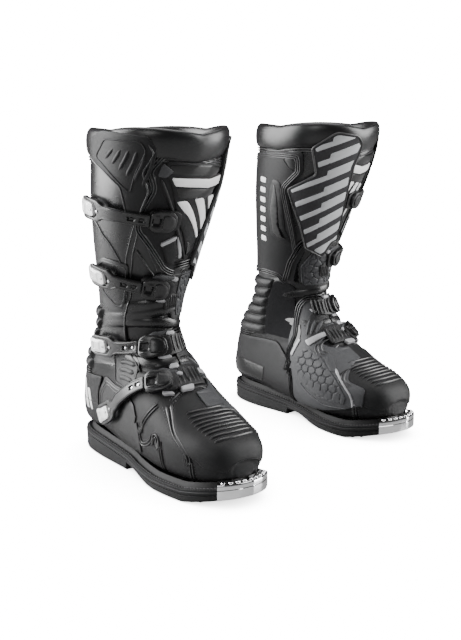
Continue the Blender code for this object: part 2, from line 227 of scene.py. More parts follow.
# ================================================================ materials
def shader(name, colour, rough, metal=0.0, grain=0.0, size=900.0, coat=0.0, weave=0.0, spec=0.5, mottle=0.0):
    m = bpy.data.materials.new(name)
    m.use_nodes = True
    nt = m.node_tree
    b = nt.nodes["Principled BSDF"]
    b.inputs["Base Color"].default_value = (*colour, 1)
    b.inputs["Roughness"].default_value = rough
    b.inputs["Metallic"].default_value = metal
    b.inputs["Coat Weight"].default_value = coat
    b.inputs["Coat Roughness"].default_value = 0.12
    b.inputs["Specular IOR Level"].default_value = spec
    if grain or weave or mottle:
        co = nt.nodes.new("ShaderNodeTexCoord")
    height = None
    if grain:
        v = nt.nodes.new("ShaderNodeTexVoronoi")
        v.inputs["Scale"].default_value = size
        n = nt.nodes.new("ShaderNodeTexNoise")
        n.inputs["Scale"].default_value = size * 0.45
        n.inputs["Detail"].default_value = 4
        mx = nt.nodes.new("ShaderNodeMath")
        mx.operation = "ADD"
        nt.links.new(co.outputs["Object"], v.inputs["Vector"])
        nt.links.new(co.outputs["Object"], n.inputs["Vector"])
        nt.links.new(v.outputs["Distance"], mx.inputs[0])
        nt.links.new(n.outputs["Fac"], mx.inputs[1])
        bp = nt.nodes.new("ShaderNodeBump")
        bp.inputs["Strength"].default_value = grain
        bp.inputs["Distance"].default_value = 0.0004
        nt.links.new(mx.outputs[0], bp.inputs["Height"])
        nt.links.new(bp.outputs["Normal"], b.inputs["Normal"])
    if weave:
        w1 = nt.nodes.new("ShaderNodeTexWave")
        w1.inputs["Scale"].default_value = size
        w1.bands_direction = "Z"
        w2 = nt.nodes.new("ShaderNodeTexWave")
        w2.inputs["Scale"].default_value = size
        w2.bands_direction = "X"
        mx = nt.nodes.new("ShaderNodeMath")
        mx.operation = "MAXIMUM"
        for w, k in ((w1, 0), (w2, 1)):
            nt.links.new(co.outputs["Object"], w.inputs["Vector"])
            nt.links.new(w.outputs["Fac"], mx.inputs[k])
        bp = nt.nodes.new("ShaderNodeBump")
        bp.inputs["Strength"].default_value = weave
        bp.inputs["Distance"].default_value = 0.0003
        nt.links.new(mx.outputs[0], bp.inputs["Height"])
        nt.links.new(bp.outputs["Normal"], b.inputs["Normal"])
    if mottle:
        n = nt.nodes.new("ShaderNodeTexNoise")
        n.inputs["Scale"].default_value = 38
        n.inputs["Detail"].default_value = 5
        mr = nt.nodes.new("ShaderNodeMapRange")
        mr.inputs["To Min"].default_value = max(0.02, rough - mottle)
        mr.inputs["To Max"].default_value = min(1.0, rough + mottle)
        nt.links.new(co.outputs["Object"], n.inputs["Vector"])
        nt.links.new(n.outputs["Fac"], mr.inputs["Value"])
        nt.links.new(mr.outputs["Result"], b.inputs["Roughness"])
    return m


M = {
    "leather": shader("leather_smooth", (0.0070, 0.0070, 0.0075), 0.28, grain=0.13, size=1500, mottle=0.05,
                      spec=0.52),
    "leather_soft": shader("leather_soft", (0.0055, 0.0055, 0.0060), 0.30, grain=0.2, size=1200, mottle=0.06,
                           spec=0.50),
    "plastic": shader("plastic_matt", (0.0105, 0.0105, 0.0112), 0.46, grain=0.2, size=2600, spec=0.22),
    "plastic_dark": shader("plastic_dark", (0.0065, 0.0065, 0.0070), 0.42, grain=0.12, size=2600, spec=0.30),
    "gloss": shader("plastic_gloss", (0.0020, 0.0020, 0.0022), 0.08, coat=0.25, spec=0.35),
    "rubber": shader("rubber_sole", (0.0085, 0.0085, 0.0090), 0.60, grain=0.35, size=1100, spec=0.25),
    "guard": shader("rubber_guard", (0.046, 0.047, 0.050), 0.50, grain=0.3, size=1700, spec=0.35),
    "guard_dark": shader("rubber_guard_dark", (0.0125, 0.0125, 0.0132), 0.46, grain=0.3, size=1700,
                         spec=0.32),
    # Piping is given a grey lighter than the black leather and plastic around it: partly a painted highlight
    # along the piping, beside the real sheen from its low roughness.
    "pipe_painted_highlight": shader("piping", (0.030, 0.030, 0.031), 0.32, spec=0.6, mottle=0.06),
    "thread": shader("thread_dark", (0.060, 0.060, 0.062), 0.7),
    "moulded": shader("plastic_semi_gloss", (0.0060, 0.0060, 0.0065), 0.29, grain=0.10, size=2600, spec=0.55,
                      mottle=0.06),
    "foot_leather": shader("leather_foot", (0.0105, 0.0105, 0.0110), 0.50, grain=0.22, size=1500,
                           mottle=0.05, spec=0.20),
    "fabric": shader("fabric_dark", (0.036, 0.036, 0.038), 0.75, weave=0.6, size=420, spec=0.2),
    "silver": shader("fabric_silver", (0.46, 0.47, 0.48), 0.45, weave=0.3, size=420),
    # Light grey on thin bevelled edge strips stands for the highlight those bevels catch: a painted
    # highlight.
    "bevel_highlight": shader("painted_bevel_highlight", (0.34, 0.34, 0.35), 0.30),
    "white": shader("plastic_white", (0.88, 0.88, 0.88), 0.35, coat=0.1),
    "lever": shader("lever_silver", (0.90, 0.90, 0.90), 0.24, metal=0.1, coat=0.3),
    "chrome": shader("polished_metal", (0.86, 0.86, 0.87), 0.06, metal=1.0),
    "steel": shader("rivet_steel", (0.60, 0.60, 0.61), 0.22, metal=1.0),
    "lining": shader("lining_mesh", (0.010, 0.010, 0.011), 0.9, weave=0.8, size=600, spec=0.15),
}


# ================================================================ mesh helpers
def to_frame(points, side):
    x0, y0, yaw = PLACES[side]
    p = np.asarray(points, float) * 0.001
    if side == "left":
        p = p * [1, -1, 1]
    c, s = math.cos(math.radians(yaw)), math.sin(math.radians(yaw))
    return np.stack([c * p[:, 0] - s * p[:, 1] + x0, s * p[:, 0] + c * p[:, 1] + y0, p[:, 2]], 1)


class Piece:
    """Collects points and faces in the boot's frame, then makes one object for each boot."""

    def __init__(self, name, body, sides=("right", "left")):
        self.name, self.body, self.sides = name, body, sides
        self.points, self.faces, self.keys, self.used = [], [], [], []
        self.count = 0

    def add(self, points, faces, key):
        points = np.asarray(points, float)
        if key not in self.used:
            self.used.append(key)
        k = self.used.index(key)
        c = self.count
        self.points.append(points)
        self.faces += [tuple(int(i) + c for i in f) for f in faces]
        self.keys += [k] * len(faces)
        self.count += len(points)

    def done(self, *replaced, slot=None, blend=None, sharp=38, padded=None):
        pts = np.concatenate(self.points)
        made = []
        for side in self.sides:
            mesh = bpy.data.meshes.new(side + "_" + self.name)
            faces = self.faces if side == "right" else [f[::-1] for f in self.faces]
            mesh.from_pydata(to_frame(pts, side).tolist(), [], faces)
            for key in self.used:
                mesh.materials.append(M[key])
            mesh.polygons.foreach_set("material_index", self.keys)
            mesh.polygons.foreach_set("use_smooth", [True] * len(faces))
            mesh.update()
            if sharp:
                mesh.set_sharp_from_angle(angle=math.radians(sharp))
            obj = bpy.data.objects.new(side + "_" + self.name, mesh)
            bpy.context.scene.collection.objects.link(obj)
            if blend:
                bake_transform(obj)
            else:
                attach(obj, side + "_" + self.body)
            if replaced:
                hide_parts(*[side + "_" + r for r in replaced])
            made.append(obj)
        return made


def grid(rows, cols, cyclic=False, flip=False):
    faces = []
    for i in range(rows - 1):
        for j in range(cols if cyclic else cols - 1):
            k = (j + 1) % cols
            f = (i * cols + j, i * cols + k, (i + 1) * cols + k, (i + 1) * cols + j)
            faces.append(f[::-1] if flip else f)
    return faces


def oriented(points, faces, outward):
    """Turns all faces the same way if the first good one does not look outward."""
    votes = 0.0
    for f in faces[::max(1, len(faces) // 40)]:
        a, b, c = points[f[0]], points[f[1]], points[f[2]]
        votes += np.dot(np.cross(b - a, c - a), outward[f[0]])
    return faces if votes > 0 else [f[::-1] for f in faces]


def resample(line, pitch, closed=False):
    line = np.asarray(line, float)
    if closed:
        line = np.vstack([line, line[:1]])
    d = np.concatenate([[0], np.cumsum(np.linalg.norm(np.diff(line, axis=0), axis=1))])
    n = max(3 if closed else 2, int(round(d[-1] / pitch)) + (0 if closed else 1))
    s = np.linspace(0, d[-1], n, endpoint=not closed)
    return np.stack([np.interp(s, d, line[:, k]) for k in (0, 1)], 1)


def rounded(outline, radius, closed=True):
    """Cuts each corner of a polyline with a small curve."""
    pts = np.asarray(outline, float)
    n = len(pts)
    out = []
    for i in range(n):
        if not closed and i in (0, n - 1):
            out.append(pts[i])
            continue
        a, b, c = pts[i - 1], pts[i], pts[(i + 1) % n]
        la, lc = np.linalg.norm(a - b), np.linalg.norm(c - b)
        r = min(radius, la * 0.45, lc * 0.45)
        p, q = b + (a - b) / la * r, b + (c - b) / lc * r
        for k in (0, 0.25, 0.5, 0.75, 1):
            out.append((1 - k) ** 2 * p + 2 * k * (1 - k) * b + k * k * q)
    return np.array(out)


def area(poly):
    x, y = poly[:, 0], poly[:, 1]
    return 0.5 * np.sum(x * np.roll(y, -1) - np.roll(x, -1) * y)


def inset(poly, d):
    """Moves a counter-clockwise outline inwards."""
    e = np.roll(poly, -1, 0) - np.roll(poly, 1, 0)
    e /= np.linalg.norm(e, axis=1, keepdims=True) + 1e-9
    return poly + np.stack([-e[:, 1], e[:, 0]], 1) * d


def inside(points, poly):
    x, y = points[:, 0], points[:, 1]
    res = np.zeros(len(points), bool)
    x0, y0 = poly[:, 0], poly[:, 1]
    x1, y1 = np.roll(x0, -1), np.roll(y0, -1)
    for a, b, c, d in zip(x0, y0, x1, y1):
        if b == d:
            continue
        hit = ((b > y) != (d > y)) & (x < (c - a) * (y - b) / (d - b) + a)
        res ^= hit
    return res


def distance(points, poly):
    a = poly
    b = np.roll(poly, -1, 0)
    ab = b - a
    best = np.full(len(points), 1e9)
    for p0, v in zip(a, ab):
        w = points - p0
        k = np.clip((w @ v) / (v @ v + 1e-12), 0, 1)
        best = np.minimum(best, np.linalg.norm(w - k[:, None] * v, axis=1))
    return best


def scaled(chart, line):
    """Leg drawings are written in degrees and heights."""
    line = np.asarray(line, float)
    return line * [DEG, 1] if chart in IN_DEGREES else line


def plate(piece, chart, outline, base, lift, key, bevel=0.8, corner=3.0, pitch=2.2, mesh=3.4,
          height=None):
    """A panel with rounded edges, standing from base to lift above the form."""
    poly = scaled(chart, outline)
    if area(poly) < 0:
        poly = poly[::-1]
    poly = resample(rounded(poly, corner), pitch, closed=True)
    n = len(poly)
    rings = [(poly, base), (poly, lift - bevel), (inset(poly, bevel * 0.3), lift - bevel * 0.3),
             (inset(poly, bevel), lift)]
    last = rings[-1][0]
    lo, hi = last.min(0), last.max(0)
    gx, gy = np.meshgrid(np.arange(lo[0] + mesh / 2, hi[0], mesh),
                         np.arange(lo[1] + mesh / 2, hi[1], mesh * 0.87))
    gx = gx + (np.arange(gx.shape[0])[:, None] % 2) * mesh / 2
    cand = np.stack([gx.ravel(), gy.ravel()], 1)
    cand = cand[inside(cand, last)] if len(cand) else cand
    if len(cand):
        cand = cand[distance(cand, last) > mesh * 0.45]
    flat = np.vstack([last, cand]) if len(cand) else last
    verts, _, tris, _, _, _ = delaunay_2d_cdt([Vector(p) for p in flat.tolist()],
                                              [(i, (i + 1) % n) for i in range(n)], [], 1, 1e-5)
    verts = np.array([tuple(v) for v in verts])
    h = np.full(len(verts), float(lift))
    if height is not None:
        edge = smoothstep(0, 2.0, distance(verts, last))
        h = h + height(verts if chart is not leg else verts / [DEG, 1]) * edge
    uv = np.concatenate([r for r, _ in rings[:3]] + [verts])
    pts = chart(uv, np.concatenate([np.full(n, float(z)) for _, z in rings[:3]] + [h]))
    faces = grid(3, n, True)
    index = np.arange(n)
    if np.linalg.norm(verts[:n] - last) > 1e-3:
        index = np.array([int(np.argmin(np.linalg.norm(verts - p, axis=1))) for p in last])
    top0 = 3 * n
    faces += [(2 * n + j, 2 * n + (j + 1) % n, top0 + index[(j + 1) % n], top0 + index[j]) for j in range(n)]
    cap = [tuple(top0 + i for i in f) for f in tris]
    if looks_in(chart, uv, pts, cap):
        faces, cap = [f[::-1] for f in faces], [f[::-1] for f in cap]
    piece.add(pts, faces + cap, key)


def looks_in(chart, uv, pts, faces):
    """True when the faces, which all turn the same way, look into the form."""
    some = faces[::max(1, len(faces) // 9)]
    first = np.array([f[0] for f in some])
    up = chart(uv[first], np.ones(len(first))) - chart(uv[first], np.zeros(len(first)))
    vote = sum(np.dot(np.cross(pts[f[1]] - pts[f[0]], pts[f[2]] - pts[f[0]]), u) for f, u in zip(some, up))
    return vote < 0


def bar(piece, chart, path, width, height, key, base=0.0, pitch=2.5, smooth=4.0, taper=True, closed=False,
        power=2.2, sink=0.6):
    """A rounded ridge of the given width and height along a path drawn on the chart."""
    path = scaled(chart, path)
    if smooth:
        path = rounded(path, smooth, closed)
    line = resample(path, pitch, closed)
    n = len(line)
    if closed:
        e = np.roll(line, -1, 0) - np.roll(line, 1, 0)
    else:
        e = np.gradient(line, axis=0)
    e /= np.linalg.norm(e, axis=1, keepdims=True) + 1e-9
    side = np.stack([-e[:, 1], e[:, 0]], 1)
    ks = np.array([-1.0, -0.86, -0.5, 0.0, 0.5, 0.86, 1.0])
    hs = (1 - np.abs(ks) ** power) ** (1 / power)
    w = np.full(n, width / 2.0)
    h = np.full(n, float(height))
    if taper and not closed:
        k = min(n // 2, 2)
        for i in range(k):
            f = (0.25, 0.8)[i]
            w[i] *= f
            w[-1 - i] *= f
            h[i] *= f
            h[-1 - i] *= f
    uv = (line[:, None, :] + side[:, None, :] * (w[:, None] * ks[None, :])[..., None]).reshape(-1, 2)
    lift = (base + h[:, None] * hs[None, :]).ravel()
    lift.reshape(n, 7)[:, [0, -1]] -= sink
    pts = chart(uv, lift)
    if closed:
        faces = []
        for i in range(n):
            m = (i + 1) % n
            faces += [(i * 7 + j, i * 7 + j + 1, m * 7 + j + 1, m * 7 + j) for j in range(6)]
    else:
        faces = grid(n, 7)
        faces += [tuple(range(6, -1, -1)), tuple((n - 1) * 7 + j for j in range(7))]
    if looks_in(chart, uv, pts, faces[: (n - 1) * 6]):
        faces = [f[::-1] for f in faces]
    piece.add(pts, faces, key)


def shifted(path, d, chart=None):
    """A path moved sideways by d drawing millimetres."""
    line = resample(rounded(scaled(chart, path), 5, False), 3.0)
    e = np.gradient(line, axis=0)
    e /= np.linalg.norm(e, axis=1, keepdims=True) + 1e-9
    line = line + np.stack([-e[:, 1], e[:, 0]], 1) * d
    return line / [DEG, 1] if chart in IN_DEGREES else line


def stitches(piece, chart, path, base=0.0, pitch=3.4, length=2.3, width=0.8, key="thread", closed=False,
             smooth=4.0):
    path = scaled(chart, path)
    line = resample(rounded(path, smooth, closed) if smooth else path, pitch, closed)
    e = (np.roll(line, -1, 0) - np.roll(line, 1, 0)) if closed else np.gradient(line, axis=0)
    e /= np.linalg.norm(e, axis=1, keepdims=True) + 1e-9
    side = np.stack([-e[:, 1], e[:, 0]], 1)
    n = len(line)
    ring = [(-1, 0, -0.25), (-0.55, -1, -0.2), (0.55, -1, -0.2), (1, 0, -0.25), (0.55, 1, -0.2),
            (-0.55, 1, -0.2),
            (-0.5, 0, 0.55), (0.5, 0, 0.55)]
    uv = np.concatenate([line + e * (a * length / 2) + side * (b * width / 2) for a, b, _ in ring])
    lift = np.concatenate([np.full(n, base + c * width * 0.8) for _, _, c in ring])
    pts = chart(uv, lift)
    faces = []
    for i in range(n):
        v = [k * n + i for k in range(8)]
        faces += [(v[0], v[1], v[6]), (v[1], v[2], v[7], v[6]), (v[2], v[3], v[7]), (v[3], v[4], v[7]),
                  (v[4], v[5], v[6], v[7]), (v[5], v[0], v[6])]
    if looks_in(chart, uv, pts, [f for f in faces if len(f) == 4]):
        faces = [f[::-1] for f in faces]
    piece.add(pts, faces, key)


def seam(piece, chart, path, base=0.0, gap=2.6, **more):
    """A double row of stitches with a fine groove-like ridge between."""
    bar(piece, chart, path, 1.9, 1.1, "pipe_painted_highlight", base, pitch=3.0)
    for d in (-gap, gap):
        stitches(piece, chart, shifted(path, d, chart), base, **more)


# ================================================================ more charts
HEEL_AXIS = 62.0


def heel_measure(q):
    return np.stack([60.0 * np.arctan2(q[:, 1], HEEL_AXIS - q[:, 0]), q[:, 2]], 1)


def heel(uv, lift):
    """Drawing wrapped round the heel: 0 at the back, inner side positive, then the height."""
    s = np.where(uv[:, 0] < 0, -1.0, 1.0)
    t, p = solve_for(np.stack([np.maximum(np.abs(uv[:, 0]), 0.3), uv[:, 1]], 1), heel_measure, 12.0, 40.0,
                     179.0, 6, 0.005)
    return skin(t, p * s, lift)[0]


def heel_at(x, z, sign=1):
    """Drawing position on the heel chart of a point of the side view."""
    t, p = solve(np.array([[float(x), float(z)]]), [0, 2])
    q = form(t, p)
    return (sign * float(heel_measure(q)[0, 0]), z)


# Outline of the sole, from the middle of the heel along the inner side and back on the outer side.
u_sole = np.linspace(0, len(SOLE) - 1, 600)
SX, SI, SO = (curve([s[k] for s in SOLE], u_sole) for k in range(3))
RIM = np.concatenate([np.stack([SX, SI], 1), np.stack([SX, -SO], 1)[::-1]])
RIM = resample(RIM, 2.0, closed=True)
RIM_N = np.roll(RIM, -1, 0) - np.roll(RIM, 1, 0)
RIM_N = np.stack([-RIM_N[:, 1], RIM_N[:, 0]], 1)
RIM_N /= np.linalg.norm(RIM_N, axis=1, keepdims=True) + 1e-9
if np.sum(RIM_N[:, 0] * (RIM[:, 0] - 150)) < 0:
    RIM_N = -RIM_N
RIM_S = np.concatenate([[0], np.cumsum(np.linalg.norm(np.diff(RIM, axis=0), axis=1))])
RIM_LENGTH = RIM_S[-1] + np.linalg.norm(RIM[0] - RIM[-1])


def edge(uv, lift):
    """Drawing on the wall of the sole: run along the outline, then height above the sole's top line."""
    s = np.mod(uv[:, 0], RIM_LENGTH)
    ss = np.append(RIM_S, RIM_LENGTH)
    pt = np.stack([np.interp(s, ss, np.append(RIM[:, k], RIM[0, k])) for k in (0, 1)], 1)
    nn = np.stack([np.interp(s, ss, np.append(RIM_N[:, k], RIM_N[0, k])) for k in (0, 1)], 1)
    q = pt + nn * np.asarray(lift, float)[:, None]
    return np.stack([q[:, 0], q[:, 1], along(SOLE_TOP, pt[:, 0]) + uv[:, 1]], 1)


def strap_line(spec, count=90):
    psi_s = np.radians(np.linspace(spec[0], spec[2], count))
    steps_s = np.linspace(spec[1], spec[3], count)
    t_s = steps_s if max(spec) < 20 else at_height(psi_s, steps_s)
    base, nrm = skin(t_s, psi_s, np.zeros(count))
    run = np.gradient(base, axis=0)
    run /= np.linalg.norm(run, axis=1, keepdims=True)
    up = np.cross(run, nrm)
    up /= np.linalg.norm(up, axis=1, keepdims=True)
    up *= np.sign(up[:, 2:3])
    nrm = np.cross(up, run)
    nrm *= np.sign(np.sum(nrm * (base - [90, 0, 0]) * [1, 1, 0], 1, keepdims=True))
    length = np.concatenate([[0], np.cumsum(np.linalg.norm(np.diff(base, axis=0), axis=1))])
    return base, nrm, up, length


def strap_chart(line):
    """Drawing on a strap: run from the front, then across (up is positive)."""
    base, nrm, up, length = line
    run = np.gradient(base, axis=0)
    run /= np.linalg.norm(run, axis=1, keepdims=True)

    def pick(a, s):
        return np.stack([np.interp(s, length, a[:, i]) for i in range(3)], -1)

    def chart(uv, lift):
        s = uv[:, 0]
        over = np.where(s < 0, s, np.where(s > length[-1], s - length[-1], 0.0))
        b, n, w, r = (pick(a, s) for a in (base, nrm, up, run))
        return b + w * uv[:, 1:2] + n * np.asarray(lift, float)[:, None] + r * over[:, None]

    return chart


# ================================================================ leather bodies
def loft(piece, t, psi, lift, key, cyclic=True, flip=None):
    pts, nrm = skin(t, psi, lift)
    rows, cols = t.shape
    pts, nrm = pts.reshape(-1, 3), nrm.reshape(-1, 3)
    faces = grid(rows, cols, cyclic)
    vote = 0.0
    for f in faces[::max(1, len(faces) // 60)]:
        a, b, c = pts[f[0]], pts[f[1]], pts[f[2]]
        vote += np.dot(np.cross(b - a, c - a), nrm[f[0]])
    turn = vote < 0
    if flip:
        turn = not turn
    piece.add(pts, [f[::-1] for f in faces] if turn else faces, key)


def ring_angles(step=3.0):
    return np.radians(np.arange(0, 360, step))


def wrinkles(psi, z):
    """Slack folds of the leather on the front of the ankle."""
    d = np.degrees(np.mod(psi + math.pi, 2 * math.pi) - math.pi)
    front = np.exp(-(d / 78.0) ** 4)
    w = np.zeros(np.broadcast(psi, z).shape)
    for zc, amp, width, skew in ((204, 3.0, 11, 4), (190, 3.6, 10, -5), (177, 3.8, 10, 5), (139, 3.6, 10, 4),
                                 (127, 3.4, 9, -6), (115, 3.0, 9, 3), (104, 2.2, 8, -2)):
        c = zc + skew * np.sin(np.radians(d * 1.3 + zc * 7)) + 5 * np.cos(np.radians(d)) - 5
        w = np.maximum(w, amp * np.clip(1 - np.abs((z - c) / width * 1.55) ** 2.2, 0, 1) ** 0.55)
    return w * front


def outside_z(t, psi):
    return form(t, psi)[..., 2]


COLLAR_HEIGHT = 31.0


def rim_at(psi):
    """Section number of the rim, a little higher at the front, and its height."""
    t_rim = 15 + 0.33 * np.clip(np.cos(psi), 0, 1) ** 0.9
    return t_rim, form(t_rim, psi)[..., 2]


def collar_t(psi, share):
    """Section number at a share of the collar's height above its lower seam."""
    t_rim, z_rim = rim_at(psi)
    low_t = at_height(psi, z_rim - COLLAR_HEIGHT)
    return low_t + (t_rim - low_t) * share


# Leg of the boot.
psi = ring_angles()
low = at_height(psi, level(LEG_LOW, psi) - 1.0)
rows = 72
t = low[None, :] + (collar_t(psi, 0.2) - low)[None, :] * np.linspace(0, 1, rows)[:, None]
pp = np.tile(psi, (rows, 1))
zz = outside_z(t, pp)
p = Piece("leg_leather", "leg")
loft(p, t, pp, wrinkles(pp, zz), "leather")
p.done("leg_shaft", slot="black_leather")

t_in = low[None, :] + (collar_t(psi, 0.5) - low)[None, :] * np.linspace(0, 1, 24)[:, None]
pp_in = np.tile(psi, (24, 1))
p = Piece("leg_lining", "leg")
loft(p, t_in, pp_in, -WALL - 0.3, "lining", flip=True)
p.done(slot="lining_fabric")

# Padded collar rolled over the rim.
profile = [(14.02, -0.6), (14.03, 1.2), (14.08, 2.8), (14.18, 4.2), (14.34, 5.2), (14.52, 5.7), (14.70, 5.5),
           (14.85, 4.6),
           (14.96, 3.0), (15.03, 0.8), (15.05, -1.4), (15.0, -3.4), (14.9, -5.0), (14.7, -6.2), (14.4, -6.6),
           (14.1, -6.2), (13.8, -5.0), (13.6, -3.4)]
psi_c = ring_angles(2.5)
t = np.stack([collar_t(psi_c, a - 14) for a, _ in profile])
puff = 1 + 0.10 * np.sin(psi_c * 3 + 0.6) + 0.05 * np.sin(psi_c * 7)
lift = np.array([b for _, b in profile])[:, None] * np.where(np.array([b for _, b in profile])[:, None] > 0,
                                                             puff, 1)
p = Piece("collar_pad", "leg")
loft(p, t, np.tile(psi_c, (len(profile), 1)), lift, "leather_soft")
pad = p.done("collar", slot="black_leather", sharp=None, padded=0.6)
for o in pad:
    m = o.modifiers.new("smooth", "SUBSURF")
    m.levels = m.render_levels = 1
p = Piece("collar_seams", "leg")


def collar_line(below, step=4):
    """A line round the leg, a little below the collar's lower seam."""
    a = np.arange(-180, 181, step)
    return np.stack([a, rim_at(np.radians(a))[1] - COLLAR_HEIGHT - below], 1)


bar(p, leg, collar_line(0.6), 2.2, 2.4, "pipe_painted_highlight", 0.2, taper=False, smooth=0)
bar(p, leg, collar_line(3.6), 1.9, 2.0, "pipe_painted_highlight", 0.1, taper=False, smooth=0)
stitches(p, leg, collar_line(6.6), 0.1, smooth=0)
p.done(slot="black_leather")

# Foot.
psi = ring_angles(4)
top_t = at_height(psi, level(FOOT_TOP, psi) + 1.5)
rows = 90
t = top_t[None, :] * (np.linspace(0, 1, rows)[:, None])
pp = np.tile(psi, (rows, 1))
zz = outside_z(t, pp)
lift = wrinkles(pp, zz) * smoothstep(5.2, 6.4, t)
lift = lift - 3.0 * (1 - smoothstep(0.0, 0.35, t))
p = Piece("foot_leather", "foot")
loft(p, t, pp, lift, "foot_leather")
tip, _ = skin(t[0], pp[0], lift[0])
tip = np.vstack([tip, tip.mean(0, keepdims=True) + [[0.4, 0, 0]]])
m = len(psi)
fan = [(j, (j + 1) % m, m) for j in range(m)]
a, b, c = (tip[i] for i in fan[0])
if np.cross(b - a, c - a)[0] < 0:
    fan = [f[::-1] for f in fan]
p.add(tip, fan, "foot_leather")
p.done("foot_upper", slot="black_leather")
t_in = 1.2 + (top_t[None, :] - 1.2) * np.linspace(0, 1, 30)[:, None]
p = Piece("foot_lining", "foot")
loft(p, t_in, np.tile(psi, (30, 1)), -WALL - 0.3, "lining", flip=True)
p.done(slot="lining_fabric")

# Footbed.
bed_x = np.linspace(32, 258, 60)
bed_w = 0.58 * np.interp(bed_x, [0, 20, 60, 110, 157, 190, 223, 251, 274],
                         [20, 34, 40, 42, 46, 48, 46, 39, 27])
bed_w = bed_w * np.sqrt(np.clip((bed_x - 31) / 16, 0.05, 1)) * np.sqrt(np.clip((259 - bed_x) / 18, 0.05, 1))
bed_z = np.interp(bed_x, [p[0] for p in BACK[:9]][::-1], [p[1] for p in BACK[:9]][::-1]) + 7.4
across = np.linspace(-1, 1, 15)
dish = 3.0 - 0.8 * (1 - across[None, :] ** 2) - 1.5 * np.abs(across[None, :]) ** 8
bed = np.stack([np.repeat(bed_x, 15), np.outer(bed_w, across).ravel(), (bed_z[:, None] + dish).ravel()], 1)
p = Piece("footbed_top", "foot")
p.add(bed, oriented(bed, grid(60, 15), np.tile([0, 0, 1.0], (len(bed), 1))), "lining")
p.done("footbed", slot="lining_fabric")

# Flexing cuff between the foot and the leg.
psi = ring_angles(3)
low = at_height(psi, level(FOOT_TOP, psi) - 1.0)
high = at_height(psi, level(LEG_LOW, psi) + 1.5)
rows = 60
t = low[None, :] + (high - low)[None, :] * np.linspace(0, 1, rows)[:, None]
pp = np.tile(psi, (rows, 1))
zz = outside_z(t, pp)
p = Piece("cuff_leather", "leg")
loft(p, t, pp, wrinkles(pp, zz) - 0.15, "leather")
loft(p, t[::3], pp[::3], np.full(t[::3].shape, -WALL), "lining", flip=True)
p.done("flex_cuff", slot="black_leather", blend=CUFF_BEND)

p = Piece("cuff_seam", "leg")
bar(p, leg, [(-60, 206), (-62, 184), (-60, 160), (-54, 136), (-52, 122)], 4.0, 3.4, "leather", 0.0, smooth=6)
p.done(slot="black_leather", blend=CUFF_BEND)

# Ribbed gaiter behind the ankle.
rows = 141
a = np.radians(np.linspace(84, 254, 90))
z = np.linspace(108, 190, rows)
side = smoothstep(84, 91, np.degrees(a)) * smoothstep(254, 247, np.degrees(a))
wave = np.abs(np.sin(math.pi * 6 * (z - 108) / 82.0)) ** 0.5
t = at_height(np.tile(a, (rows, 1)), z[:, None] + 0 * a[None, :])
p = Piece("gaiter_folds", "leg")
loft(p, t, np.tile(a, (rows, 1)), -0.8 + (1.4 + 4.6 * wave[:, None]) * side[None, :], "guard_dark",
     cyclic=False)
plate(p, leg, [(46, 180), (60, 188), (85, 188), (87, 110), (62, 110), (48, 136)], -0.4, 2.2, "lining", 0.8,
      corner=3, mesh=4)
p.done("rear_gaiter", slot="guard_rubber", blend=((88, 0, 110), (118, 0, 188)))


# ================================================================ sole
def sole_station(n=130):
    k = (1 - np.cos(np.linspace(0, math.pi, n))) / 2
    x = -5.9 + k * (298.85 + 5.9)
    x = np.sort(np.concatenate([x, [119.7, 120.3, 122.0]]))
    return x


sx = sole_station()
wi = np.interp(sx, SX, SI)
wo = np.interp(sx, SX, SO)
loop = np.concatenate([np.stack([sx, wi], 1), np.stack([sx, -wo], 1)[::-1]])
tang = np.roll(loop, -1, 0) - np.roll(loop, 1, 0)
nor = np.stack([-tang[:, 1], tang[:, 0]], 1)
nor /= np.linalg.norm(nor, axis=1, keepdims=True) + 1e-9
if np.sum(nor[:, 0] * (loop[:, 0] - 150)) < 0:
    nor = -nor
n = len(loop)
bz, tz = along(SOLE_BOTTOM, loop[:, 0]), along(SOLE_TOP, loop[:, 0])
rings = []
for off, h, fix in ((-9, 0.0, 0), (-2.2, 0.0, 0), (-0.8, 0.0, 0.9), (-0.2, 0.0, 2.6), (-0.3, 0.35, 0),
                    (-0.1, 0.6, 0),
                    (0.0, 1.0, -5.2), (-0.1, 1.0, -4.4), (-1.0, 1.0, -4.1), (-1.0, 1.0, -3.4),
                    (0.3, 1.0, -3.0),
                    (0.4, 1.0, -0.9), (-0.3, 1.0, 0.0), (-2.0, 1.0, 0.5), (-5.0, 1.0, 0.6)):
    q = loop + nor * off
    rings.append(np.stack([q[:, 0], q[:, 1], bz + (tz - bz) * h + fix], 1))
pts = np.concatenate(rings)
faces = grid(len(rings), n, True)
half = n // 2
faces += [(j, j + 1, n - 2 - j, n - 1 - j) for j in range(half - 1)]
vote = sum(np.dot(np.cross(pts[f[1]] - pts[f[0]], pts[f[2]] - pts[f[0]]), np.append(nor[f[0] % n], 0))
           for f in faces[4 * n:5 * n:7])
if vote < 0:
    faces = [f[::-1] for f in faces]
a, b, c = (pts[i] for i in faces[-half // 2][:3])
if np.cross(b - a, c - a)[2] > 0:
    faces[-(half - 1):] = [f[::-1] for f in faces[-(half - 1):]]
p = Piece("sole_block", "foot")
p.add(pts, faces, "rubber")
p.done("outsole", slot="sole_rubber", sharp=30)


def block(piece, x0, x1, y0, y1, z0, z1, key, bevel=0.6):
    b = bevel
    rings = [[(x0 + b, y0 + b), (x1 - b, y0 + b), (x1 - b, y1 - b), (x0 + b, y1 - b), z0],
             [(x0, y0), (x1, y0), (x1, y1), (x0, y1), z0 + b], [(x0, y0), (x1, y0), (x1, y1), (x0, y1), z1]]
    pts = np.array([(x, y, r[4]) for r in rings for x, y in r[:4]], float)
    faces = [(3, 2, 1, 0)] + [(i * 4 + j, i * 4 + (j + 1) % 4, i * 4 + 4 + (j + 1) % 4, i * 4 + 4 + j)
                              for i in range(2) for j in range(4)]
    faces += [(8, 9, 10, 11)]
    piece.add(pts, faces, key)


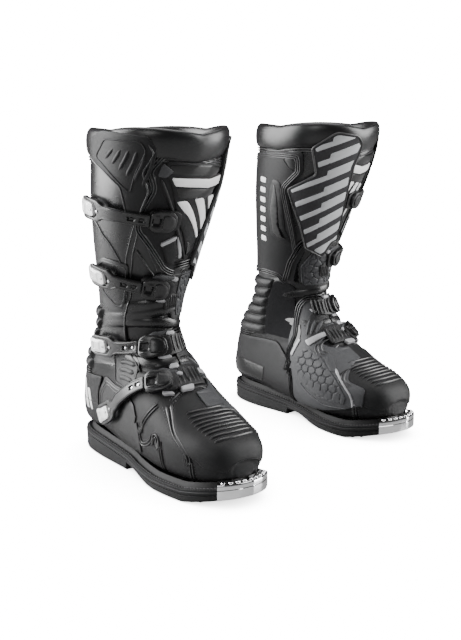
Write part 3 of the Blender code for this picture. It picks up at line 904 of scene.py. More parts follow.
p = Piece("sole_tread", "foot")
for x in list(np.arange(6, 112, 11.0)) + list(np.arange(186, 262, 11.5)):
    a = np.interp(x + 3, SX, SI) - 6
    b = np.interp(x + 3, SX, SO) - 6
    z = float(along(SOLE_BOTTOM, x))
    for y0, y1 in ((-b, -b * 0.36), (-b * 0.28, a * 0.28), (a * 0.36, a)):
        block(p, x, x + 7.0, y0, y1, z, z + 2.0, "rubber", 0.5)
p.done(slot="sole_rubber")

# Welt between the sole and the leather, with its knurled edge, which stops at the toe plate.
KNURL_END = 282
rings = []
for off, h in ((-0.9, -0.2), (-0.5, 0.8), (-0.6, 1.9), (-1.5, 3.0), (-3.0, 3.5), (-4.6, 3.2), (-6.0, 2.2),
               (-7.2, 2.4),
               (-8.2, 4.6), (-10.5, 8.0)):
    q = loop + nor * off
    rings.append(np.stack([q[:, 0], q[:, 1], tz + h], 1))
pts = np.concatenate(rings)
faces = grid(len(rings), n, True)
vote = sum(np.dot(np.cross(pts[f[1]] - pts[f[0]], pts[f[2]] - pts[f[0]]), np.append(nor[f[0] % n], 0))
           for f in faces[:n:7])
p = Piece("welt", "foot")
p.add(pts, faces if vote > 0 else [f[::-1] for f in faces], "rubber")
for s in np.arange(0, RIM_LENGTH, 2.9):
    x = float(edge(np.array([[s, 0.0]]), [0.0])[0, 0])
    if x > KNURL_END:
        continue
    bar(p, edge, [(s, 0.6), (s, 3.0)], 1.5, 0.7, "rubber", -0.9, pitch=0.8, smooth=0)
p.done("midsole", slot="sole_rubber", sharp=50)


def ledge(uv, lift):
    """Drawing on the flat top of the welt: run, then distance inwards."""
    e = edge(np.stack([uv[:, 0], np.full(len(uv), 0.0)], 1), -uv[:, 1])
    e[:, 2] += 3.3 + np.asarray(lift, float)
    return e


p = Piece("welt_stitches", "foot")
stitches(p, ledge, [(0, 3.2), (RIM_LENGTH, 3.2)], 0.2, pitch=4.4, length=3.2, width=1.1, smooth=0)
p.done(slot="sole_rubber")

# Polished toe plate.
TOE_PLATE_START = 281.0
idx = np.nonzero(RIM[:, 0] > TOE_PLATE_START)[0]
s0, s1 = RIM_S[idx[0]], RIM_S[idx[-1]]
run = np.linspace(s0, s1, 46)
rows = []
for lift, h in ([(-1.5, 0.0), (1.6, 0.0), (2.6, 0.03), (3.0, 0.10), (3.0, 0.62), (2.2, 0.66), (2.2, 0.72),
                               (3.0, 0.76), (3.0, 0.93), (2.6, 0.98), (1.6, 1.0), (-2.5, 1.05), (-6.0, 1.12),
                               (-6.3, 1.08), (-6.0, 1.02), (-2.5, 0.95)]):
    e = edge(np.stack([run, np.zeros(46)], 1), np.full(46, lift))
    x = edge(np.stack([run, np.zeros(46)], 1), np.zeros(46))[:, 0]
    zb, zt = along(SOLE_BOTTOM, x) + 1.2, along(SOLE_TOP, x) + 8.4
    e[:, 2] = zb + (zt - zb) * h
    rows.append(e)
pts = np.concatenate(rows)
faces = grid(len(rows), 46)
faces += [tuple(k * 46 for k in range(len(rows))), tuple(k * 46 + 45 for k in range(len(rows)))[::-1]]
nv = np.concatenate([edge(np.stack([run, np.zeros(46)], 1),
                          np.ones(46)) - edge(np.stack([run, np.zeros(46)], 1), np.zeros(46))
                     for _ in rows])
k = 4 * 45
f = faces[k]
if np.dot(np.cross(pts[f[1]] - pts[f[0]], pts[f[2]] - pts[f[0]]), nv[f[0]]) < 0:
    faces = [f[::-1] for f in faces]
p = Piece("toe_plate_shell", "foot")
p.add(pts, faces, "chrome")
for s in np.linspace(s0 + 6, s1 - 6, 9):
    x = float(edge(np.array([[s, 0.0]]), [0.0])[0, 0])
    hgt = float(along(SOLE_TOP, x)) + 8.8
    c = edge(np.array([[s, 0.0]]), [-1.5])[0]
    c[2] = hgt
    ang = np.linspace(0, 2 * math.pi, 16, endpoint=False)
    dome = [np.stack([c[0] + r * np.cos(ang), c[1] + r * np.sin(ang), np.full(16, c[2] + h)], 1)
            for r, h in ((2.7, -1.6), (2.7, 0.2), (2.2, 1.2), (1.2, 1.7))]
    q = np.concatenate(dome + [np.array([[c[0], c[1], c[2] + 1.8]])])
    fs = grid(4, 16, True) + [(48 + j, 48 + (j + 1) % 16, 64) for j in range(16)]
    p.add(q, fs, "chrome")
p.done("toe_plate", slot="polished_metal", sharp=30)


# ================================================================ heel and foot panels
H = heel_at
outline = [H(141, 31), H(141, 62), H(128, 86), H(108, 103), (40, 101), (0, 99), (-40, 101), H(70, 104, -1),
           H(60, 82, -1),
           H(60, 40, -1), (-40, 35), (0, 35), (40, 33)]


p = Piece("heel_shell", "foot")
plate(p, heel, outline, 0.1, 2.8, "plastic", 1.0, corner=6, mesh=4.0)
u0, u1 = H(24, 40)[0], H(80, 40)[0]
plate(p, heel, [(u0 - 12, 42), (u1 - 6, 41), (u1, 62), (u0 - 8, 66)], 2.4, 3.1, "gloss", 0.3, corner=2,
      mesh=4)
bar(p, heel, [(u0 - 12, 42), (u1 - 6, 41), (u1, 62), (u0 - 8, 66)], 1.2, 0.9, "plastic", 2.6, closed=True,
    smooth=2)
bar(p, heel, [H(60, 66, -1), (-40, 68), (0, 68), (u0 - 12, 68), (u0 + 6, 66)], 1.4, 0.7, "plastic", 2.6)
p.done("heel_counter", slot="matte_plastic")
p = Piece("heel_graphic", "foot")
for dx, top_z in ((0, 100), (13, 92), (26, 82)):
    plate(p, heel, [(-34 - dx, 56), (-41 - dx, 56), (-35 - dx, top_z), (-26 - dx, top_z)], 2.6, 3.2, "white",
          0.2, corner=1.2, mesh=4)
p.done(slot="matte_plastic")

p = Piece("side_panel", "foot")
side_line = [(60, 38), (60, 84), (76, 106), (98, 100), (118, 99), (146, 88), (158, 58), (163, 34), (120, 32)]
plate(p, outer, side_line, 0.1, 1.8, "plastic_dark", 0.9, corner=5, mesh=4)
bar(p, outer, [(64, 42), (64, 82), (78, 101), (98, 96), (118, 95)], 1.6, 0.9, "pipe_painted_highlight", 1.5)
bar(p, outer, [(67.5, 42), (67.5, 80), (79, 97), (98, 92), (118, 91)], 1.2, 0.7, "pipe_painted_highlight", 1.5)
p.done(slot="matte_plastic")

p = Piece("outer_ankle_piece", "foot")
frame_line = [(100, 104), (96, 138), (126, 142), (140, 136), (142, 108), (120, 102)]
plate(p, outer, frame_line, 0.1, 2.2, "guard_dark", 0.9, corner=5, mesh=3)
bar(p, outer, frame_line, 2.0, 1.0, "guard_dark", 2.0, closed=True, smooth=5)
for k in range(3):
    z = 112 + 9 * k
    bar(p, outer, [(106, z - 1), (118, z + 1), (136, z)], 6.0, 2.2, "guard_dark", 1.8, smooth=2)
p.done(slot="guard_rubber")

# Seams of the vamp.
def raised_seam(piece, chart, path):
    """Two rounded welts side by side with a row of stitches beyond each."""
    for d in (-1.7, 1.7):
        bar(piece, chart, shifted(path, d, chart), 2.1, 1.6, "moulded", 0.1)
    for d in (-4.4, 4.4):
        stitches(piece, chart, shifted(path, d, chart), 0.1)


p = Piece("vamp_seams", "foot")
raised_seam(p, outer, [(186, 96), (170, 76), (157, 58), (163, 45), (178, 50), (194, 66), (202, 52),
                       (206, 24)])
for chart in (outer, inner):
    raised_seam(p, chart, [(196, 97), (206, 88), (222, 72), (240, 60), (250, 48), (250, 24)])
seam(p, top, [(196, -30), (192, -12), (190, 0), (192, 12), (196, 30)], 0.1)
p.done(slot="black_leather")

# Toe cap with its ridges.
p = Piece("toe_cap_shell", "foot")
cap_line = [(8, -92), (30, -92), (52, -86), (66, -66), (80, -44), (88, -20), (90, 0), (88, 20), (80, 44),
            (66, 66),
            (52, 86), (30, 92), (8, 92), (4, 40), (4, -40)]
plate(p, foot_tp, cap_line, 0.0, 1.4, "foot_leather", 1.0, corner=6, mesh=4, pitch=3)
for k in range(9):
    x = 222 + 6.2 * k
    w = 24 + 5 * math.sin(math.pi * (k + 1) / 10)
    bar(p, top, [(x - 3, -w - 2), (x + 0.5, -w * 0.5), (x + 1.2, 0), (x + 0.5, w * 0.5), (x - 3, w + 2)],
        3.4, 2.3, "moulded", 1.0, smooth=8)
p.done("toe_cap", slot="matte_plastic")

# Cuts over the toe joint.
p = Piece("instep_ridges", "foot")
for k in range(3):
    x = 186 - 8 * k
    bar(p, top, [(x + 3, -30 + k), (x + 7, 0), (x + 3, 30 - k)], 4.5, 2.0, "foot_leather", -0.4, smooth=10)
p.done(slot="black_leather")


# ================================================================ guard on the inner side of the ankle
def cell_edge(uv, size, jitter=0.0):
    """Distance to the nearest border of a field of six-sided cells."""
    a = np.array([1.0, 0.0]) * size
    b = np.array([0.5, math.sqrt(3) / 2]) * size
    inv = np.linalg.inv(np.stack([a, b], 1))
    g = np.floor(uv @ inv.T)
    best = np.full(len(uv), 1e9)
    second = np.full(len(uv), 1e9)
    for i in (-1, 0, 1, 2):
        for j in (-1, 0, 1, 2):
            c = g + [i, j]
            h = np.sin(c[:, 0] * 127.1 + c[:, 1] * 311.7) * 43758.5
            h2 = np.sin(c[:, 0] * 269.5 + c[:, 1] * 183.3) * 43758.5
            off = np.stack([h - np.floor(h), h2 - np.floor(h2)], 1) - 0.5
            q = c[:, :1] * a + c[:, 1:] * b + off * jitter * size
            d = np.linalg.norm(uv - q, axis=1)
            second = np.minimum(second, np.maximum(best, d))
            best = np.minimum(best, d)
    return (second - best) / 2


p = Piece("ankle_guard_shell", "foot")
guard_line = [(134, 166), (160, 160), (182, 128), (176, 112), (190, 106), (207, 104), (226, 88), (236, 72),
              (262, 66),
              (262, 46), (236, 36), (200, 28), (149, 26), (137, 50), (133, 74), (128, 112)]
plate(p, inner, guard_line, 0.1, 3.0, "guard", 1.2, corner=5, mesh=4)
hex_line = [(151, 98), (166, 104), (186, 96), (206, 82), (226, 68), (240, 52), (226, 42), (196, 44),
            (166, 56), (152, 76)]


def hexes(uv):
    return -1.1 * smoothstep(0.85, 0.25, cell_edge(uv * [1.0, 1.25], 12.5, 0.12))


plate(p, inner, hex_line, 2.6, 4.2, "guard", 0.7, corner=4, mesh=1.25, height=hexes, pitch=1.6)
rib_line = [(150, 146), (176, 140), (180, 122), (172, 108), (158, 116), (151, 128)]
plate(p, inner, rib_line, 2.6, 3.4, "guard_dark", 0.5, corner=3)
for k in range(5):
    bar(p, inner, [(152 + 5.5 * k, 138 - 1.0 * k), (158 + 4.6 * k, 118 + 1.8 * k)], 3.0, 1.6, "guard", 3.2,
        smooth=0)
# These thin light-grey strips along the guard's edges are painted highlights on its bevels.
plate(p, inner, [(146, 152), (176, 146), (178, 141), (152, 146)], 2.8, 4.6, "bevel_highlight", 0.6, corner=1.0)
plate(p, inner, [(158, 112), (166, 106), (184, 126), (181, 130)], 2.8, 4.4, "bevel_highlight", 0.6, corner=1.0)
plate(p, inner, [(138, 92), (142, 90), (152, 112), (148, 114)], 2.8, 4.4, "bevel_highlight", 0.6, corner=1.0)
plate(p, inner, [(140, 100), (150, 104), (150, 118), (143, 132), (138, 128)], 2.8, 3.3, "gloss", 0.3,
      corner=1.5)
# Light-grey bar along the upper edge: a painted highlight on the bevel.
bar(p, inner, [(212, 84), (244, 58), (252, 44)], 2.6, 1.8, "bevel_highlight", 2.6, smooth=2)
bar(p, inner, [(150, 62), (176, 46), (206, 36), (240, 38)], 2.0, 1.5, "guard", 2.8, smooth=4)
for line in ([(186, 116), (178, 110), (186, 100), (196, 98)], [(232, 88), (226, 80), (232, 70), (244, 66)]):
    for k in range(3):
        bar(p, inner, np.array(line) + [-2.6 * k, -2.2 * k + 1.5], 1.6, 1.2, "pipe_painted_highlight", 2.8, smooth=5)
plate(p, inner, [(192, 101), (204, 95), (216, 80), (208, 80), (196, 90)], 2.8, 3.9, "guard", 0.5, corner=2)
p.done("inner_ankle_guard", slot="guard_rubber")
p = Piece("ankle_guard_piping", "foot")
rear = [(141, 26), (141, 54), (136, 74), (131, 92), (140, 116), (134, 138), (133, 156), (142, 168),
        (160, 163), (183, 130)]
for k in range(3):
    bar(p, inner, shifted(rear, -3.0 + 3.0 * k), 2.1, 2.4, "moulded", 2.2 - 0.4 * k)
p.done(slot="guard_rubber")


def cut(poly, region):
    """Sutherland-Hodgman: the region cut by a convex polygon."""
    out = [tuple(v) for v in region]
    poly = np.asarray(poly, float)
    if area(poly) < 0:
        poly = poly[::-1]
    for a, b in zip(poly, np.roll(poly, -1, 0)):
        src, out = out, []
        if not src:
            break
        e = b - a
        for v, w in zip(src, src[1:] + src[:1]):
            sv = e[0] * (v[1] - a[1]) - e[1] * (v[0] - a[0])
            sw = e[0] * (w[1] - a[1]) - e[1] * (w[0] - a[0])
            if sv >= 0:
                out.append(v)
            if (sv >= 0) != (sw >= 0):
                k = sv / (sv - sw)
                out.append((v[0] + k * (w[0] - v[0]), v[1] + k * (w[1] - v[1])))
    return np.array(out) if len(out) > 2 else None


# ================================================================ leg panels
def front_panels(side, leg):
    """Shin plate, striped panel and tiled guard, on a chart that sets where their shared border runs."""
    p = Piece("shin_plate", "leg", (side,))
    shin_line = [(-34, 374), (-43, 357), (-37, 337), (-48, 308), (-50, 292), (-20, 246), (-8, 238),
                 (12, 240), (18, 262),
                 (25, 330), (29, 354), (24, 364), (-4, 370)]
    plate(p, leg, shin_line, 0.1, 2.0, "plastic", 1.0, corner=5, mesh=4)
    # Raised centre with its sharp borders.
    mid_line = [(-30, 368), (-31, 356), (-24, 342), (-12, 300), (2, 262), (12, 258), (19, 300), (25, 350),
                (26, 360)]
    plate(p, leg, mid_line, 1.6, 3.4, "plastic", 1.0, corner=3, mesh=4)
    # Gloss recess across the top, the white band under it and the dark window.
    plate(p, leg, [(-27, 364), (-28, 355), (-14, 352), (6, 349), (24, 352), (25, 358), (8, 361)], 3.0, 3.7,
          "gloss", 0.4, corner=2, mesh=4)
    plate(p, leg, [(-33, 366), (-24, 357), (-29, 350), (-36, 352)], 3.0, 4.8, "guard", 1.0, corner=1.5)
    plate(p, leg, [(-25, 350), (-21, 341), (6, 337), (25, 340), (25, 350), (6, 346.5)], 3.0, 4.4, "white",
          0.6, corner=1.2, mesh=4)
    plate(p, leg, [(-20, 339), (-16, 327), (6, 324), (23, 330), (24, 338), (6, 335)], 3.0, 3.6, "gloss", 0.3,
          corner=1.5, mesh=4)
    # Slanted white stripes that fill a corner of the plate.
    corner_line = np.array([(-17, 323), (21, 328), (18, 290), (12, 278)], float) * [DEG, 1]
    if area(corner_line) < 0:
        corner_line = corner_line[::-1]
    for k in range(4):
        x = -24 + 15.5 * k
        band = [(x * DEG, 334), ((x + 9.5) * DEG, 334), ((x + 9.5 + 34) * DEG, 270), ((x + 34) * DEG, 270)]
        part = cut(band, corner_line)
        if part is not None and abs(area(part)) > 20:
            plate(p, leg, part / [DEG, 1], 3.0, 4.3, "white", 0.5, corner=1.5, mesh=4)
    bar(p, leg, [(25, 346), (20, 300), (13, 262)], 4.2, 2.4, "plastic", 2.8)
    bar(p, leg, [(-33, 348), (-21, 318), (-6, 272), (2, 254)], 3.6, 2.0, "plastic", 2.6, smooth=6)
    plate(p, leg, [(0, 276), (5, 272), (8, 262), (3, 258)], 3.0, 3.9, "gloss", 0.4, corner=1.5)
    # Raised chevron below.
    plate(p, leg, [(-26, 272), (-12, 280), (-6, 262), (-10, 248), (-18, 252)], 1.6, 3.6, "plastic", 1.2,
          corner=2)
    # Light-grey strips along two edges of the chevron: painted highlights on its bevels.
    plate(p, leg, [(-27, 276), (-26, 272), (-12, 279), (-11, 284)], 1.8, 4.6, "bevel_highlight", 0.7, corner=0.8)
    plate(p, leg, [(-11, 284), (-8, 279), (-3, 258), (-6, 256)], 1.8, 4.4, "bevel_highlight", 0.7, corner=0.8)
    p.done("shin_guard", slot="matte_plastic")

    p = Piece("shin_piping", "leg", (side,))
    border = [(24, 364), (-4, 371), (-34, 376), (-45, 357), (-39, 337), (-50, 308), (-52, 291), (-22, 244),
              (-9, 236), (13, 238), (20, 262)]
    for k, off in enumerate((0.0, 2.5, 5.0)):
        bar(p, leg, shifted(border, off, leg), 1.7, 1.7 - 0.1 * k, "pipe_painted_highlight", 1.4, smooth=0)
    stitches(p, leg, shifted([(24, 364), (-4, 371), (-34, 376)], 8.0, leg), 2.0, smooth=0)
    p.done(slot="matte_plastic")

    # Striped panel on the inner side.
    p = Piece("striped_panel", "leg", (side,))
    stripe_line = [(59, 372), (44, 392), (28, 388), (22, 376), (25, 348), (16, 264), (13, 248), (24, 245),
                   (32, 226),
                   (54, 240), (73, 319), (53, 338)]
    plate(p, leg, stripe_line, 0.1, 6.9, "fabric", 1.2, corner=3, mesh=4)
    clip = np.asarray(stripe_line, float) * [DEG, 1]
    if area(clip) < 0:
        clip = clip[::-1]
    clip = inset(resample(clip, 2.0, closed=True), 2.6)

    slope = -0.62
    for k in range(9):
        z = 204 + 21.5 * k
        # Narrow half towards the back, wide half towards the front, with a step between them.
        step_at = 44 + 0.35 * (k - 4)
        for u0, u1, w in ((74, step_at, 7.0), (step_at + 0.6, 8, 12.5)):
            quad = [(u0 * DEG, z + slope * (u0 - 74) * DEG), (u1 * DEG, z + slope * (u1 - 74) * DEG),
                    (u1 * DEG, z + slope * (u1 - 74) * DEG + w), (u0 * DEG, z + slope * (u0 - 74) * DEG + w)]
            piece_line = cut(quad, clip)
            if piece_line is None or abs(area(piece_line)) < 14:
                continue
            plate(p, leg, piece_line / [DEG, 1], 6.6, 7.2, "silver", 0.15, corner=0.6, mesh=4)
    p.done("inner_calf_panel", slot="striped_fabric")

    p = Piece("striped_piping", "leg", (side,))
    bar(p, leg, stripe_line, 1.8, 1.6, "pipe_painted_highlight", 6.2, closed=True, smooth=3)
    bar(p, leg, [(57, 366), (40, 363), (26, 355)], 0.8, 0.35, "pipe_painted_highlight", 6.15)
    p.done(slot="striped_fabric")

    # Guard with irregular tiles below the striped panel.
    p = Piece("shin_side_guard", "leg", (side,))
    side_guard = [(48, 252), (-8, 246), (-10, 206), (-4, 180), (50, 178), (66, 190), (66, 216), (58, 240)]
    plate(p, leg, side_guard, 0.1, 3.0, "guard_dark", 1.2, corner=4, mesh=4)

    def tiles(uv):
        return -1.2 * smoothstep(0.9, 0.3, cell_edge(uv, 10.0, 0.75))

    plate(p, leg, [(38, 237), (2, 235), (0, 206), (2, 186), (46, 185), (52, 212)], 2.6, 4.3, "guard", 0.7,
          corner=2, mesh=1.25, height=tiles, pitch=1.6)
    plate(p, leg, [(44, 246), (2, 243), (1, 238.5), (40, 240.5), (54, 213), (49, 186), (58, 190), (59, 214),
                   (53, 236)], 2.6, 3.5, "gloss",
          0.4, corner=1.5, mesh=3)
    bar(p, leg, [(48, 187), (53, 213), (39, 239), (2, 237)], 1.4, 1.6, "guard", 3.4, smooth=1)
    p.done("inner_shin_guard", slot="guard_rubber")
    p = Piece("shin_side_piping", "leg", (side,))
    for k in range(3):
        bar(p, leg, shifted([(-8, 248), (48, 254), (60, 241), (68, 216), (68, 190)], 3.0 - 3.0 * k, leg),
            2.0, 2.2, "moulded", 2.2)
    p.done(slot="guard_rubber")


FRONT_BORDER = {"right": 38, "left": 2}
for side, border in FRONT_BORDER.items():
    def turned(uv, lift, border=border):
        """The leg chart with the inner border of the shin plate moved round to the given angle."""
        uv = np.array(uv, float)
        uv[:, 0] = DEG * np.interp(uv[:, 0] / DEG, [-180, -50, 24, 73, 260], [-180, -50, border, 73, 260])
        return leg(uv, lift)
    IN_DEGREES.append(turned)
    front_panels(side, turned)

# Calf panel on the outer side.
p = Piece("outer_calf_shell", "leg")
calf_line = [(-90, 399), (-44, 394), (-36, 380), (-45, 356), (-38, 336), (-46, 308), (-60, 312), (-66, 338),
             (-104, 370), (-106, 388)]
plate(p, leg, calf_line, 0.1, 6.4, "plastic", 1.4, corner=4, mesh=4)
field = [(-86, 390), (-50, 388), (-45, 378), (-53, 356), (-57, 334), (-66, 342), (-94, 370)]
bar(p, leg, field, 1.8, 1.1, "plastic", 6.1, closed=True, smooth=4)
for k in range(6):
    x = -84 + 7.6 * k
    top_z, low_z = 380 - 0.6 * k, max(342, 369 - 5.6 * k)
    bar(p, leg, [(x, low_z), (x + 5 + k * 0.3, (top_z + low_z) / 2 + 2), (x + 8, top_z)], 4.2, 1.7,
        "plastic", 6.0, smooth=4)
bar(p, leg, [(-44, 386), (-38, 376), (-47, 356), (-40, 336), (-47.5, 311)], 1.8, 1.2, "pipe_painted_highlight", 6.0)
bar(p, leg, [(-104, 371), (-67, 340), (-61, 314)], 1.8, 1.2, "pipe_painted_highlight", 6.0)
p.done("outer_calf_panel", slot="matte_plastic")

# Seams and piping of the outer calf leather.
p = Piece("calf_seams", "leg")
seam(p, leg, [(-132, 318), (-118, 306), (-100, 292), (-84, 270), (-73, 250), (-66, 226), (-64, 205)], 0.1)
bar(p, leg, [(-46, 300), (-57, 262), (-60, 236), (-58, 205)], 3.0, 1.8, "leather", 0.0)
seam(p, leg, [(-54, 296), (-66, 258), (-69, 230), (-67, 205)], 0.1)
plate(p, leg, [(-63, 250), (-67, 194), (-84, 196), (-104, 212), (-112, 246), (-96, 256)], 0.1, 1.7,
      "leather", 0.8, corner=4, mesh=4)
bar(p, leg, [(-66, 246), (-70, 198), (-84, 200), (-101, 214), (-108, 244), (-96, 252)], 1.6, 1.0, "pipe_painted_highlight", 1.4,
    closed=True)
stitches(p, leg, [(-70, 240), (-74, 203), (-85, 204), (-98, 217), (-104, 243)], 1.6)
bar(p, leg, [(-48, 292), (-34, 262), (-22, 240)], 1.8, 1.0, "pipe_painted_highlight", 0.1)
bar(p, leg, [(-52, 268), (-36, 246), (-22, 232), (0, 226), (20, 228)], 3.0, 1.8, "leather", 0.0)
p.done(slot="black_leather")

# Plastic panel round the back of the calf.
p = Piece("rear_panel_shell", "leg")
rear_line = [(62, 366), (92, 366), (118, 363), (150, 359), (178, 355), (178, 300), (176, 206), (140, 198),
             (104, 200),
             (80, 196), (62, 184), (50, 214), (56, 236), (76, 318), (58, 338)]
plate(p, leg, rear_line, 0.1, 2.2, "plastic", 1.0, corner=5, mesh=4)
for k, off in enumerate((2.5, 5.0, 7.5)):
    bar(p, leg, shifted([(54, 222), (59, 236), (79, 318), (62, 340), (66, 362), (92, 363), (118, 360),
                         (150, 356),
                         (176, 352)], -off + 2.5, leg), 1.6, 1.5, "pipe_painted_highlight", 1.6, smooth=0)
for k, off in enumerate((0.0, 2.5, 5.0)):
    bar(p, leg, shifted([(176, 210), (140, 202), (104, 204), (80, 200), (64, 190)], off, leg), 1.6, 1.5,
        "pipe_painted_highlight", 1.6, smooth=0)
bar(p, leg, [(84, 356), (76, 345), (68, 340), (70, 352), (76, 360)], 1.4, 0.9, "plastic_dark", 2.0,
    closed=True, smooth=2)
plate(p, leg, [(82, 357), (75, 345), (68, 341), (70, 352), (75, 359)], 1.8, 2.9, "plastic_dark", 0.5,
      corner=2)
blade = [(92, 330), (84, 326), (80, 300), (76, 262), (66, 244), (84, 246), (94, 254), (97, 290), (95, 318)]
plate(p, leg, blade, 1.8, 3.0, "plastic_dark", 0.8, corner=3, mesh=4)
plate(p, leg, [(90, 324), (86, 300), (84, 266), (74, 250), (86, 252), (91, 258), (94, 290)], 2.4, 3.4,
      "gloss", 0.4, corner=2, mesh=4)
# Row of plain white bars down the back.
for k in range(7):
    z = 244 + 13.2 * k
    plate(p, leg, [(101, z), (111, z + 1.5), (111, z + 8.5), (101, z + 7)], 1.8, 2.9, "white", 0.5,
          corner=1.5, mesh=4)
p.done("rear_calf_panel", slot="matte_plastic")

# Bands round the heel, below the gaiter.
p = Piece("ankle_bands", "foot")
for k in range(3):
    a = np.arange(96, 252, 4.0)
    bar(p, leg, np.stack([a, 103.5 + 2.6 * k + 5.0 * smoothstep(110, 96, a)], 1), 1.9, 3.0 - 0.3 * k, "pipe_painted_highlight",
        0.6, smooth=0)
p.done(slot="guard_rubber")

# ================================================================ buckles
def stud(piece, chart_, s, w, r, h0, h1, key):
    ang = np.linspace(0, 2 * math.pi, 18, endpoint=False)
    rows = []
    for rr, hh in ((r, h0), (r, h1 - r * 0.35), (r * 0.82, h1 - r * 0.08), (r * 0.4, h1)):
        rows.append(chart_(np.stack([s + rr * np.cos(ang), w + rr * np.sin(ang)], 1), np.full(18, hh)))
    q = np.concatenate(rows + [chart_(np.array([[s, w]]), np.array([h1]))])
    faces = grid(4, 18, True) + [(54 + j, 54 + (j + 1) % 18, 72) for j in range(18)]
    up = chart_(np.array([[s, w]]), np.array([h1 + 1.0]))[0] - q[-1]
    a, b, c = (q[i] for i in faces[-1])
    if np.dot(np.cross(b - a, c - a), up) < 0:
        faces = [f[::-1] for f in faces]
    piece.add(q, faces, key)


for label, spec in STRAPS.items():
    line = strap_line(spec)
    chart_ = strap_chart(line)
    total = float(line[3][-1])
    s_hinge = HOLDER_LENGTH + HINGE_GAP / 2
    strap_end = total - LEVER_LENGTH - HINGE_GAP
    on = "leg" if label in ("upper", "calf") else "foot"
    # Holder at the front: a base on the boot and a rounded frame.
    p = Piece(label + "_holder_base", on)
    plate(p, chart_, [(-11, -9), (-11, 9), (-3, 12.5), (22, 12), (26, 9), (26, -9), (22, -12), (-3, -12.5)],
          -1.5, 6.3,
          "plastic_dark", 1.2, corner=4, mesh=4)
    if label != "upper":
        plate(p, chart_, [(-8, 12), (-10, 16), (8, 17.5), (16, 13), (14, 10.5)], -1.0, 5.4, "guard", 1.0,
              corner=1.5)
        # Light-grey ends of the base: painted highlights on the bevels.
        plate(p, chart_, [(-6, -12), (-8, -16), (4, -16.5), (8, -12)], -1.0, 5.0, "bevel_highlight", 1.0, corner=1.5)
        plate(p, chart_, [(-13, 10), (-15, 15), (-6, 16), (-4, 12)], -1.0, 5.2, "bevel_highlight", 1.0, corner=1.5)
    p.done(slot="matte_plastic")
    p = Piece(label + "_holder_frame", on)

    def mouth(uv):
        a = smoothstep(13.0, 14.0, uv[:, 0])
        b = smoothstep(4.8, 4.0, np.abs(uv[:, 1]))
        return -3.0 * a * b

    plate(p, chart_, [(-4, -6), (-4, 6), (2, 12), (17, 13.4), (23.8, 9), (23.8, -9), (17, -13.4), (2, -12)],
          5.2, 10.6,
          "moulded", 1.5, corner=3, mesh=1.5, height=mouth, pitch=1.8)
    plate(p, chart_, [(-1, -4), (-1, 4), (4, 8.6), (12, 8.6), (12, -8.6), (4, -8.6)], 9.8, 12.2, "moulded",
          1.3, corner=2.5)
    for w in (-1, 1):
        bar(p, chart_, [(13, 7.2 * w), (21.5, 7.2 * w)], 3.2, 1.5, "moulded", 10.2, smooth=0)
    p.done(label + "_holder", slot="matte_plastic")
    # Strap: a narrow band with slots, and a wide forked end.
    p = Piece(label + "_strap_band", label + "_strap")
    s0 = HOLDER_LENGTH + 0.6
    s1 = strap_end - 7

    def slots(uv, a=s0 + 4, b=s0 + 14):
        w = smoothstep(2.6, 2.0, np.abs(uv[:, 1]))
        h = 0
        for c in (a, b):
            h = h + smoothstep(c - 0.2, c + 0.6, uv[:, 0]) * smoothstep(c + 6.8, c + 6.0, uv[:, 0])
        return -1.9 * w * h

    fork = 12.2
    band_line = [(s0, -7.2), (s0, 7.2), (s1 - 6, 7.2), (s1 + 3, fork), (total - 9, fork + 0.6),
                 (total - 4, fork - 1),
                 (total - 4, fork - 3.6), (total - 9, 8.6), (strap_end + 1.2, 8.6), (strap_end - 3, 4.6),
                 (strap_end - 3, -4.6), (strap_end + 1.2, -8.6), (total - 9, -8.6), (total - 4, -fork + 3.6),
                 (total - 4, -fork + 1), (total - 9, -fork - 0.6), (s1 + 3, -fork), (s1 - 6, -7.2)]
    plate(p, chart_, band_line, 6.3, 9.9, "moulded", 0.9, corner=1.6, mesh=1.6, height=slots, pitch=1.6)
    bar(p, chart_, [(s0 + 2, 5.6), (s1 - 6, 5.6), (s1 + 1, 9.6)], 1.3, 0.8, "moulded", 9.6, smooth=3)
    bar(p, chart_, [(s0 + 2, -5.6), (s1 - 6, -5.6), (s1 + 1, -9.6)], 1.3, 0.8, "moulded", 9.6, smooth=3)
    stud(p, chart_, s1 + 2, 0, 1.8, 9.4, 11.0, "steel")
    for c in (s0 + 4, s0 + 14):
        plate(p, chart_, [(c + 1.4, -1.5), (c + 1.4, 1.5), (c + 5.2, 1.5), (c + 5.2, -1.5)], 7.4, 8.8,
              "steel" if label in ("ankle", "instep") else "gloss", 0.4, corner=0.5, mesh=2)
    p.done(label + "_strap", slot="matte_plastic")
    # Lever.
    p = Piece(label + "_lever_body", label + "_lever")
    a, b = strap_end + 2.6, total - 0.4

    def ridges(uv, a=a, b=b):
        m = (a + b) / 2
        x, across_lever = uv[:, 0], np.abs(uv[:, 1])
        raised = 0.9 * smoothstep(6.5, 5.6, across_lever) * smoothstep(m - 5, m - 4, x)
        groove = 1.4 * smoothstep(m + 4, m + 5, x) * smoothstep(m + 8, m + 7, x) * (across_lever < 4)
        return raised - groove

    plate(p, chart_, [(a, -6.5), (a, 6.5), (a + 4, 7.9), (b - 9, 7.9), (b - 4, 9.4), (b, 7.6), (b, -7.6),
                      (b - 4, -9.4),
                      (b - 9, -7.9), (a + 4, -7.9)], 6.5, 10.4, "lever", 1.0, corner=2.0, mesh=1.5,
                      height=ridges,
          pitch=1.6)
    stud(p, chart_, a + 3.5, 0, 1.5, 10.0, 11.4, "steel")
    p.done(label + "_lever", slot="lever_plastic")
    # Seat of the lever on the boot.
    p = Piece(label + "_lever_seat", on)
    plate(p, chart_, [(total - 30, -8), (total - 30, 8), (total - 6, 9), (total + 3, 6), (total + 3, -6),
                      (total - 6, -9)],
          -2.0, 5.9, "plastic_dark", 1.2, corner=3, mesh=4)
    p.done(slot="matte_plastic")

